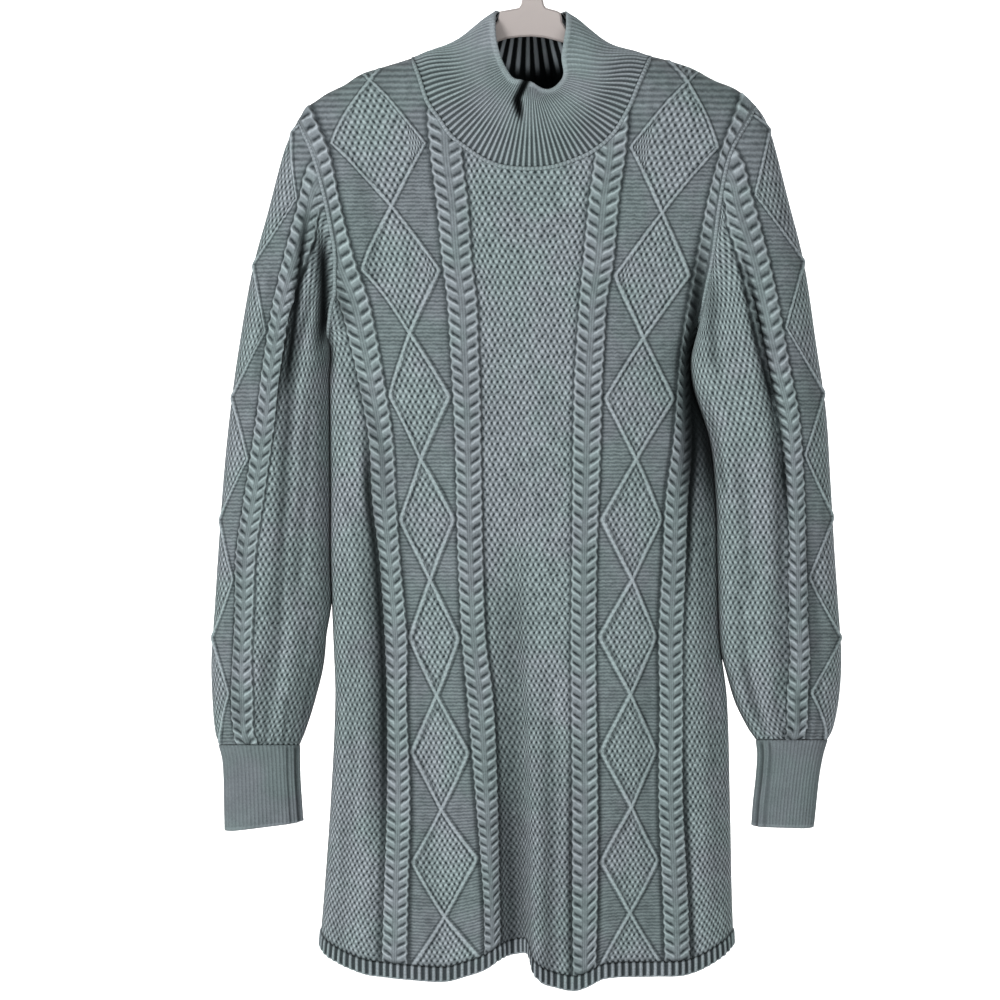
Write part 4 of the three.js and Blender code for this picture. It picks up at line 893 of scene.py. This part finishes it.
def sleeve(name, table, creases, cross, cable, tip, column, flip, strokes, leave, forward, inner_edge_shade, beside, columns=128, rows=280):
    f1, front1 = ring_shares(columns)
    # rows at even distances down the sleeve
    r0 = np.linspace(0, 12, 241)
    middle = tube(table, [], r0, np.full_like(r0, 0.35), np.ones_like(r0, bool))
    length = np.concatenate([[0], np.cumsum(np.linalg.norm(np.diff(middle, axis=0), axis=1))])
    r1 = np.interp(np.linspace(0, length[-1], rows + 1), length, r0)
    r, f = np.meshgrid(r1, f1, indexing="ij")
    front = np.broadcast_to(front1[None], r.shape)
    base = tube(table, creases, r, f, front)
    # the first rows open out to the armhole
    z = lerp(tip, PIT_Z, f1)
    c = np.full_like(z, column)
    hole = np.stack([body_x(c, z), np.where(front1, -1, 1) * body_depth(c, z, []), z], 1)
    hole[0, 1] = hole[columns // 2, 1] = 0
    grow = smooth(r1 / 1.0)[:, None, None]
    base = lerp(hole[None], base, grow)
    # the slack inner edge lies against the side of the body as far down as leave
    half = columns // 2
    z_in = base[:, half, 2]
    side = body_x(np.full_like(z_in, column), z_in)
    near = smooth((r1 - 0.2) / 0.5) * (1 - smooth((leave - z_in) / 45.0))
    pull = (side - base[:, half, 0] + (1.8 if column == 0 else -1.8)) * near
    part = smooth((f - 0.6) / 0.4)
    base[..., 0] += pull[:, None] * part
    base[..., 1] += forward * near[:, None] * part
    # ripples of the slack cloth
    n = outward(base, True, flip)
    ripple = smooth((r - 3) / 4) * (0.8 * np.sin(f * 13.0 + r * 1.1) + 0.6 * np.sin(f * 22.0 - r * 0.9 + 1.0)) * np.sin(np.pi * f) ** 0.5
    gather = smooth((r - 9.2) / 2.6) * (1 - smooth((r - 11.7) / 0.3)) * 1.3 * np.sin(f * 62.0 + 0.6 * np.sin(r * 2.0)) * np.sin(np.pi * f)
    base = base + n * (ripple + gather)[..., None]
    calm = smooth((12 - r) / 0.5) * smooth(r / 0.6)
    x0, z0 = base[..., 0].copy(), base[..., 2].copy()
    press = stroke_depth(strokes, x0, z0) * calm
    base[..., 1] += np.where(front, np.minimum(press, np.maximum(-base[..., 1] - 6, 0)), 0)
    # painted shade along the folds drawn for the sleeve
    dark = np.where(front, stroke_shade(strokes, x0, z0), 0)
    y_px = -base[..., 2] / PX - 80
    row = diamonds(cross, y_px)
    t = [[k, a, b] for k, (a, b) in enumerate(cable)]
    f3, f4 = curve(t, r, 1), curve(t, r, 2)
    strip = np.where(f < f3, 2.5 + 0.5 * f / f3, np.where(f < f4, 3 + (f - f3) / (f4 - f3), 4 + (f - f4) / (1 - f4)))
    strip = np.where(front, strip, 5 - strip)
    # unroll the ring, with the last column once more at the end
    def wrap(a, last=None):
        return np.concatenate([a, a[:, :1] if last is None else last], 1)
    g = wrap(base)
    along = arc(g)
    strip_w = wrap(strip, np.full((rows + 1, 1), 2.5))
    strip_w[:, half] = 4.9999
    period = stitch_period(y_px[:, :1])
    total = along[:, -1:]
    stitch = np.zeros_like(strip_w)
    for j in range(rows + 1):
        a, s = along[j], strip_w[j]
        fs, fa = s[:half + 1], a[:half + 1]
        bs, ba = s[half + 1:], a[half + 1:]
        a3, a4 = np.interp(3, fs, fa), np.interp(4, fs, fa)
        w3 = a3
        w4 = -(a[half] - a4) / 2
        wf = np.where(fs < 3, fa, np.where(fs < 4, lerp(w3, w4, fs - 3), fa - a4 + w4))
        # the back: from the inner edge to the outer one the strips rise from 0 to 2.5
        b1, b2 = np.interp(1, bs, ba), np.interp(2, bs, ba)
        v1 = (b1 - a[half]) / 2
        v2 = b2 - total[j, 0]
        wb = np.where(bs > 2, ba - total[j, 0], np.where(bs > 1, lerp(v1, v2, bs - 1), ba - b1 + v1))
        stitch[j, :half + 1] = wf / period[j, 0]
        stitch[j, half + 1:] = wb / period[j, 0]
    wide = np.zeros_like(strip_w)
    for j in range(rows + 1):
        wide[j, :half + 1] = 2 * np.interp(3, strip_w[j, :half + 1], along[j, :half + 1])
        wide[j, half + 1:] = 2 * (total[j, 0] - np.interp(2, strip_w[j, half + 1:], along[j, half + 1:]))
    parts = knit(np.clip(strip_w, 0, 8.9999), wrap(row), stitch, wide, 1.0)
    relief = knit_relief(parts)[:, :-1]
    down = np.concatenate([np.zeros((1, columns)), np.cumsum(np.linalg.norm(np.diff(base, axis=0), axis=2), 0)])
    fade = smooth(down / 5.0) * smooth((down[-1:] - down) / 4.0)
    seam = smooth((1 - f) * np.linalg.norm(base[:, :1] - base[:, half:half + 1], axis=2) / 4.0)
    outer = base + outward(base, True, flip) * (relief * fade * seam - 0.5)[..., None]
    inner = (base - n * WALL)[::4, ::4]
    shade = dark
    chord = np.linalg.norm(base[:, :1] - base[:, half:half + 1], axis=2)
    # painted shade in the creases
    for top_side, low_side, first, full, last, depth, width, hidden in creases:
        side = lerp(top_side, low_side, np.clip((r - first) / (last - first), 0, 1))
        grow = smooth((r - first) / (full - first)) * (1 - 0.6 * smooth((r - full) / (last - full)))
        shade = np.maximum(shade, 0.065 * depth * grow * np.exp(-((f - side) * chord / (0.55 * width)) ** 2))
    # painted shade along the inner edge of the cable
    line = np.exp(-((np.abs(f - f4) * chord - 1.2) / 2.0) ** 2) * smooth((r - beside[1]) / 0.8) * (1 - smooth((r - beside[2]) / 2.0))
    shade = np.maximum(shade, beside[0] * np.where(front & (f > f4), line, 0))
    # painted shade along the inner edge, where the sleeve lies against the body
    shade = np.maximum(shade, inner_edge_shade[0] * smooth((r - 0.6) / 1.5) * np.exp(-((1 - f) * chord / inner_edge_shade[1]) ** 2))
    # painted shade at the bottom where the cuff joins
    shade = np.maximum(shade, 0.12 * np.exp(-((down[-1:] - down) / 2.5) ** 2))
    maps = {"knit": (strip_w, wrap(row)), "knit2": (stitch, wide), "shade": (wrap(shade), np.zeros_like(stitch))}
    return shell(name, outer, inner, maps, True, flip, KNIT), base, hole


def cuff(name, table, flip, edge, ribs=46, per=8, rows=24):
    columns = ribs * per
    # ribs at even distances round the middle section
    f0, front0 = ring_shares(2048)
    ring = tube(table, [], np.full_like(f0, 2.0), f0, front0)
    ring = np.concatenate([ring, ring[:1]])
    run = np.concatenate([[0], np.cumsum(np.linalg.norm(np.diff(ring, axis=0), axis=1))])
    k = np.interp(np.arange(columns) / columns * run[-1], run, np.arange(len(run)))
    half = 1024
    u = np.where(k <= half, k, 2048 - k) / half
    f1 = 0.35 * u + 0.65 * (1 - np.cos(np.pi * u)) / 2
    front1 = k <= half
    r, f = np.meshgrid(np.linspace(0, 4, rows + 1), f1, indexing="ij")
    front = np.broadcast_to(front1[None], r.shape)
    base = tube(table, [], r, f, front)
    # rounded corners at the free edge
    low = smooth((r - 3.5) / 0.5)
    base[..., 2] += low * 1.8 * (np.abs(2 * f - 1) ** 8) - 3.5 * smooth((r - 1.5) / 2.5)
    base[..., 1] *= 1 - 0.12 * low
    rib = np.broadcast_to((np.arange(columns) / per)[None], r.shape)
    up = r / 4
    ridge, _, _ = rib_parts(rib, up, 0.9, 0.05, 0.03)
    n = outward(base, True, flip)
    # two deeper lines near the inner edge, darkened with painted shade
    chord = np.linalg.norm(base[:, :1] - base[:, columns // 2:columns // 2 + 1], axis=2)
    inner_off = (1 - f) * chord
    lines = np.exp(-((inner_off - edge) / 1.3) ** 2) + 0.6 * np.exp(-((inner_off - edge - 7.5) / 1.2) ** 2)
    relief = 0.28 * ridge - 0.2 - 1.7 * lines * smooth(up / 0.08)
    outer = base + n * relief[..., None]
    inner = base - n * WALL
    inner = inner[::4, ::4]
    rib_w = np.concatenate([rib, np.full((rows + 1, 1), float(ribs))], 1)
    up_w = np.concatenate([up, up[:, :1]], 1)
    shade = lines * 0.45 * smooth(up / 0.08)
    shade_w = np.concatenate([shade, shade[:, :1]], 1)
    return shell(name, outer, inner, {"rib": (rib_w, up_w), "shade": (shade_w, shade_w)}, True, flip, CUFF_RIB), base


# ------------------------------------------------------------- collar, hems
def neck_edge(neck, folds, waves, side, count=601):
    c = np.linspace(NECK_C_LEFT, NECK_C_RIGHT, count)
    z = top_z(c, neck)
    return np.stack([body_x(c, z), side * body_depth(c, z, folds, waves), z], 1)


def run_length(points):
    return np.concatenate([[0], np.cumsum(np.linalg.norm(np.diff(points, axis=0), axis=1))])


def collar(ribs=114, per=6, rows=28):
    front = neck_edge(NECK_FRONT, FOLDS_FRONT, soft_waves_front, -1)
    back = neck_edge(NECK_BACK, FOLDS_BACK, soft_waves_back, 1)[::-1]
    lf, lb = run_length(front), run_length(back)
    columns = ribs * per
    total = lf[-1] + lb[-1]
    s = np.arange(columns) / columns * total
    on_front = s <= lf[-1]
    share_f = np.clip(s / lf[-1], 0, 1)
    share_b = np.clip((s - lf[-1]) / lb[-1], 0, 1)
    seam = np.where(on_front[:, None],
                    np.stack([np.interp(s, lf, front[:, k]) for k in range(3)], 1),
                    np.stack([np.interp(s - lf[-1], lb, back[:, k]) for k in range(3)], 1))
    left = np.where(on_front, share_f < 0.5, share_b > 0.5)
    place = np.where(on_front, np.abs(2 * share_f - 1), 2 - np.abs(2 * share_b - 1))
    rim = np.stack([np.where(left, curve(RIM_LEFT, place, k), curve(RIM_RIGHT, place, k)) for k in (1, 3, 2)], 1)
    f = np.linspace(0, 1, rows + 1)[:, None, None]
    base = lerp(seam[None], rim[None], f)
    hump = (4 * f * (1 - f))[..., 0]
    base[..., 2] += hump * straight(COLLAR_BOW, place, 1)[None]
    base[..., 1] += hump * (straight(COLLAR_BOW, place, 2) * np.where(place < 1, -1, 1))[None]
    x, z, up = base[..., 0], base[..., 2], np.broadcast_to(f[..., 0], base.shape[:2])
    facing = np.broadcast_to((place < 0.8)[None], x.shape)
    # the pinch at the front of the rim, and the lighter fold beside it
    centre = np.interp(-z, [140, 157, 176], [-2.5, -11, -8])
    pinch = np.where(facing, np.exp(-((x - centre) / 4.2) ** 2) * smooth((up - 0.42) / 0.35), 0)
    fold = np.where(facing, np.exp(-((x - centre - 11) / 7.0) ** 2) * smooth((up - 0.3) / 0.5), 0)
    base[..., 1] += 11.0 * pinch - 3.0 * fold
    base[..., 2] += 2.2 * fold * smooth((up - 0.6) / 0.4)
    # slack rings round the sides
    sides = np.exp(-((place - 1.0) / 0.35) ** 2)[None] * np.sin(up * 9.0) * 1.3 * smooth(up / 0.15)
    base[..., 2] += sides
    n = outward(base, True, True)
    rib = np.broadcast_to((np.arange(columns) / per)[None], x.shape)
    ridge, edge, seam_line = rib_parts(rib, up, 0.55, 0.085, 0.05)
    relief = 1.25 * ridge * (1 - edge) + 1.1 * edge - 0.8
    outer = base + n * relief[..., None]
    ridge_in, _, _ = rib_parts(rib / 2, up, 0.55, 0.085, 0.05)
    inner = base - n * (2.2 + 0.9 * ridge_in * (1 - edge))[..., None]
    rib_w = np.concatenate([rib, np.full((rows + 1, 1), float(ribs))], 1)
    up_w = np.concatenate([up, up[:, :1]], 1)
    # painted shade in the slit of the pinch
    shade = np.maximum(0.92 * smooth(pinch * 1.5 - 0.2), 0.0)
    shade_w = np.concatenate([shade, shade[:, :1]], 1)
    crest = np.concatenate([ridge_in, ridge_in[:, :1]], 1)
    # inside the collar: painted shade, nearly black deep down and in the grooves, and painted highlight (a negative
    # shade) on the crests
    inside_painted_shade = lerp(lerp(0.90, -0.95, crest), 0.97, smooth((0.50 - up_w) / 0.25))
    maps = {"rib": (rib_w, up_w), "shade": (shade_w, shade_w)}
    inside = {"rib": (rib_w / 2, np.minimum(up_w, 0.3)), "shade": (inside_painted_shade, inside_painted_shade)}
    return shell("collar_rib_knit", outer, inner, maps, True, True, COLLAR_RIB, 1, 1, inside), base, front, back


def hem(name, hem_table, folds, waves, side, ribs=72, per=8, rows=8):
    c0 = np.linspace(0, 9, 3001)
    seam0 = bottom_z(c0, hem_table) + HEM_BAND
    edge = np.stack([body_x(c0, seam0), side * body_depth(c0, seam0, folds, waves), seam0], 1)
    run = run_length(edge)
    columns = ribs * per
    c = np.interp(np.arange(columns + 1) / columns * run[-1], run, c0)
    bottom = bottom_z(c, hem_table)
    seam = bottom + HEM_BAND
    u = np.linspace(0, 1, rows + 1)[:, None]
    z = lerp(seam[None] + 0.9, bottom[None], u)
    cc = np.broadcast_to(c[None], z.shape)
    base = np.stack([body_x(cc, z), side * body_depth(cc, z, folds, waves), z], 2)
    n = outward(base, False, side > 0)
    rib = np.broadcast_to((np.arange(columns + 1) / per)[None], z.shape)
    up = np.broadcast_to(u, z.shape)
    ridge, _, _ = rib_parts(rib, up, 0.62, 0.12, 0.16)
    relief = 1.7 * ridge - 1.0 - 1.0 * np.exp(-((u - 0.02) / 0.09) ** 2) - 0.9 * smooth((u - 0.85) / 0.15)
    outer = base + n * relief[..., None]
    inner = (base - n * WALL)[::4, ::4]
    none = np.zeros_like(rib)
    return shell(name, outer, inner, {"rib": (rib, up), "shade": (none, none)}, False, side > 0, HEM_RIB), base


def rope(name, points, radius, pitch, closed=False, lift=None, sides=10, tips=()):
    """A round welt along a seam; lift moves it outwards at each point."""
    p = np.array(points, float)
    size = np.ones(len(p))
    for tip in tips:
        size = np.minimum(size, 0.35 + 0.65 * smooth((np.linalg.norm(p - np.array(tip), axis=1) - 3.0) / 20.0))
    if lift is not None:
        p = p + lift * size[:, None]
    ahead = np.roll(p, -1, 0) - np.roll(p, 1, 0) if closed else np.gradient(p, axis=0)
    ahead /= np.maximum(np.linalg.norm(ahead, axis=1, keepdims=True), 1e-9)
    ref = np.array([0.0, 1.0, 0.0])
    a = np.cross(ahead, ref)
    a /= np.maximum(np.linalg.norm(a, axis=1, keepdims=True), 1e-9)
    b = np.cross(ahead, a)
    q = np.arange(sides) / sides * TAU
    grid = p[:, None] + radius * size[:, None, None] * (a[:, None] * np.cos(q)[None, :, None] + b[:, None] * np.sin(q)[None, :, None])
    length = run_length(np.concatenate([p, p[:1]]) if closed else p)
    if closed:
        grid = np.concatenate([grid, grid[:1]])
    verts = grid[:-1].reshape(-1, 3) if closed else grid.reshape(-1, 3)
    rows = len(grid) - 1
    count = len(verts)
    faces, where = [], []
    for j in range(rows):
        for i in range(sides):
            i2 = (i + 1) % sides
            ids = [j * sides + i, (j + 1) * sides + i, (j + 1) * sides + i2, j * sides + i2]
            faces.append([v % count for v in ids] if closed else ids)
            where.append([(j, i), (j + 1, i), (j + 1, i + 1), (j, i + 1)])
    if not closed:
        faces.append(list(range(sides)))
        where.append([(0, i) for i in range(sides)])
        faces.append([rows * sides + i for i in range(sides)][::-1])
        where.append([(rows, i) for i in range(sides)][::-1])
    mesh = bpy.data.meshes.new(name)
    mesh.from_pydata([tuple(v) for v in verts / 1000.0], [], faces)
    bake = mesh.uv_layers.new(name="OFBake")
    ribs = mesh.uv_layers.new(name="rib")
    k = 0
    for spots in where:
        for j, i in spots:
            bake.data[k].uv = (0.01 + 0.98 * j / rows, 0.05 + 0.9 * i / sides)
            ribs.data[k].uv = (length[min(j, len(length) - 1)] / pitch, i / sides)
            k += 1
    mesh.polygons.foreach_set("use_smooth", np.ones(len(mesh.polygons), bool))
    mesh.materials.append(WELT)
    mesh.update()
    o = bpy.data.objects.new(name, mesh)
    scene.collection.objects.link(o)
    return o


# ---------------------------------------------------------------- assembly
front, front_base = panel("front", NECK_FRONT, HEM_FRONT, FOLDS_FRONT, soft_waves_front, -1, SHADES_FRONT)
back, back_base = panel("back", NECK_BACK, HEM_BACK, FOLDS_BACK, soft_waves_back, 1, SHADES_BACK)
left, left_base, left_hole = sleeve("sleeve_left_knit", SLEEVE_LEFT, CREASES_LEFT, CROSS_SLEEVE_LEFT, SLEEVE_CABLE_LEFT, TIP_LEFT_Z, 0.0, False, STROKES_LEFT, -590.0, 3.0, (0.22, 20.0), (0.90, 0.6, 3.4))
right, right_base, right_hole = sleeve("sleeve_right_knit", SLEEVE_RIGHT, CREASES_RIGHT, CROSS_SLEEVE_RIGHT, SLEEVE_CABLE_RIGHT, TIP_RIGHT_Z, 9.0, True, STROKES_RIGHT, -640.0, -5.0, (0.40, 3.0), (0.85, 1.2, 5.5))
cuff_left, cuff_left_base = cuff("cuff_left_rib_knit", CUFF_LEFT, False, 3.4)
cuff_right, cuff_right_base = cuff("cuff_right_rib_knit", CUFF_RIGHT, True, 4.2)
neck, neck_base, neck_front, neck_back = collar()
hem_front, hem_front_base = hem("hem_front_rib_knit", HEM_FRONT, FOLDS_FRONT, soft_waves_front, -1)
hem_back, hem_back_base = hem("hem_back_rib_knit", HEM_BACK, FOLDS_BACK, soft_waves_back, 1)

ring = np.concatenate([neck_front[::3], neck_back[3:-3:3]])
middle = ring.mean(0)
push = ring - middle
push[:, 2] = 0
push /= np.maximum(np.linalg.norm(push, axis=1, keepdims=True), 1e-9)
welt_neck = rope("welt_neck", ring, 1.75, 3.6, closed=True, lift=push * 0.5, tips=[neck_front[0], neck_front[-1]])
welt_left = rope("welt_left", left_hole, 1.7, 3.6, closed=True, lift=np.array([-0.6, 0, 0.4]), tips=[left_hole[0]])
welt_right = rope("welt_right", right_hole, 1.7, 3.6, closed=True, lift=np.array([0.6, 0, 0.4]), tips=[right_hole[0]])

# ------------------------------------------------ what each piece stands for
pieces = {
    "front": (front, "cloth"), "back": (back, "cloth"), "sleeve_left": (left, "cloth"), "sleeve_right": (right, "cloth"),
    "cuff_left": (cuff_left, "rib"), "cuff_right": (cuff_right, "rib"), "collar": (neck, "rib"),
    "hem_front": (hem_front, "rib"), "hem_back": (hem_back, "rib"),
}
for node, (piece, slot) in pieces.items():
    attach(piece, "root")
    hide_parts(node)
for piece in (welt_neck, welt_left, welt_right):
    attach(piece, "root")

areas = {
    "front": grid_area(front_base, False), "back": grid_area(back_base, False),
    "sleeve_left": grid_area(left_base, True), "sleeve_right": grid_area(right_base, True),
    "cuff_left": grid_area(cuff_left_base, True), "cuff_right": grid_area(cuff_right_base, True),
    "collar": grid_area(neck_base, True), "hem_front": grid_area(hem_front_base, False), "hem_back": grid_area(hem_back_base, False),
}
print("areas", {k: round(float(v), 4) for k, v in areas.items()})

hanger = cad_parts["hanger"]
for k in range(len(hanger.material_slots)):
    hanger.material_slots[k].link = "OBJECT"
    hanger.material_slots[k].material = PLASTIC

# ------------------------------------------------------------------- studio
def backdrop():
    """A pale floor that turns up into a wall far behind, so that the back can be seen too."""
    ground = -1.8
    profile = [(-18.0, ground)]
    radius, wall = 0.12, 18.5
    profile.append((wall - radius, ground))
    for k in range(1, 13):
        a = k / 12 * math.pi / 2
        profile.append((wall - radius + radius * math.sin(a), ground + radius * (1 - math.cos(a))))
    profile.append((wall, 4.0))
    verts = [(x, y, z) for y, z in profile for x in (-6.0, 6.0)]
    faces = [(2 * k, 2 * k + 1, 2 * k + 3, 2 * k + 2) for k in range(len(profile) - 1)]
    mesh = bpy.data.meshes.new("backdrop")
    mesh.from_pydata(verts, [], faces)
    mesh.polygons.foreach_set("use_smooth", np.ones(len(faces), bool))
    m, tree, bsdf = new_material("backdrop_white")
    bsdf.inputs["Base Color"].default_value = (0.93, 0.93, 0.93, 1)
    bsdf.inputs["Roughness"].default_value = 0.9
    bsdf.inputs["Specular IOR Level"].default_value = 0.1
    mesh.materials.append(m)
    o = bpy.data.objects.new("backdrop", mesh)
    scene.collection.objects.link(o)
    return o


backdrop()


def area_light(name, location, target, size, energy):
    data = bpy.data.lights.new(name, "AREA")
    data.shape = "SQUARE"
    data.size = size
    data.energy = energy
    o = bpy.data.objects.new(name, data)
    o.location = location
    d = np.array(target, float) - np.array(location, float)
    o.rotation_euler = (math.atan2(math.hypot(d[0], d[1]), -d[2]), 0.0, math.atan2(-d[0], d[1]))
    scene.collection.objects.link(o)
    return o


area_light("key", (-2.5, -2.6, 0.25), (0, 0, -0.5), 1.2, 98)
area_light("fill", (2.0, -3.6, 0.4), (0, 0, -0.5), 2.4, 45)
area_light("wall", (0.0, 14.5, 3.4), (0, 18.5, -0.9), 3.0, 620)
area_light("back", (1.6, 3.4, 0.9), (0, 0, -0.5), 2.2, 100)
world = bpy.data.worlds.new("studio")
world.use_nodes = True
world.node_tree.nodes["Background"].inputs[0].default_value = (1, 1, 1, 1)
world.node_tree.nodes["Background"].inputs[1].default_value = 0.30
scene.world = world
scene.view_settings.view_transform = "Standard"
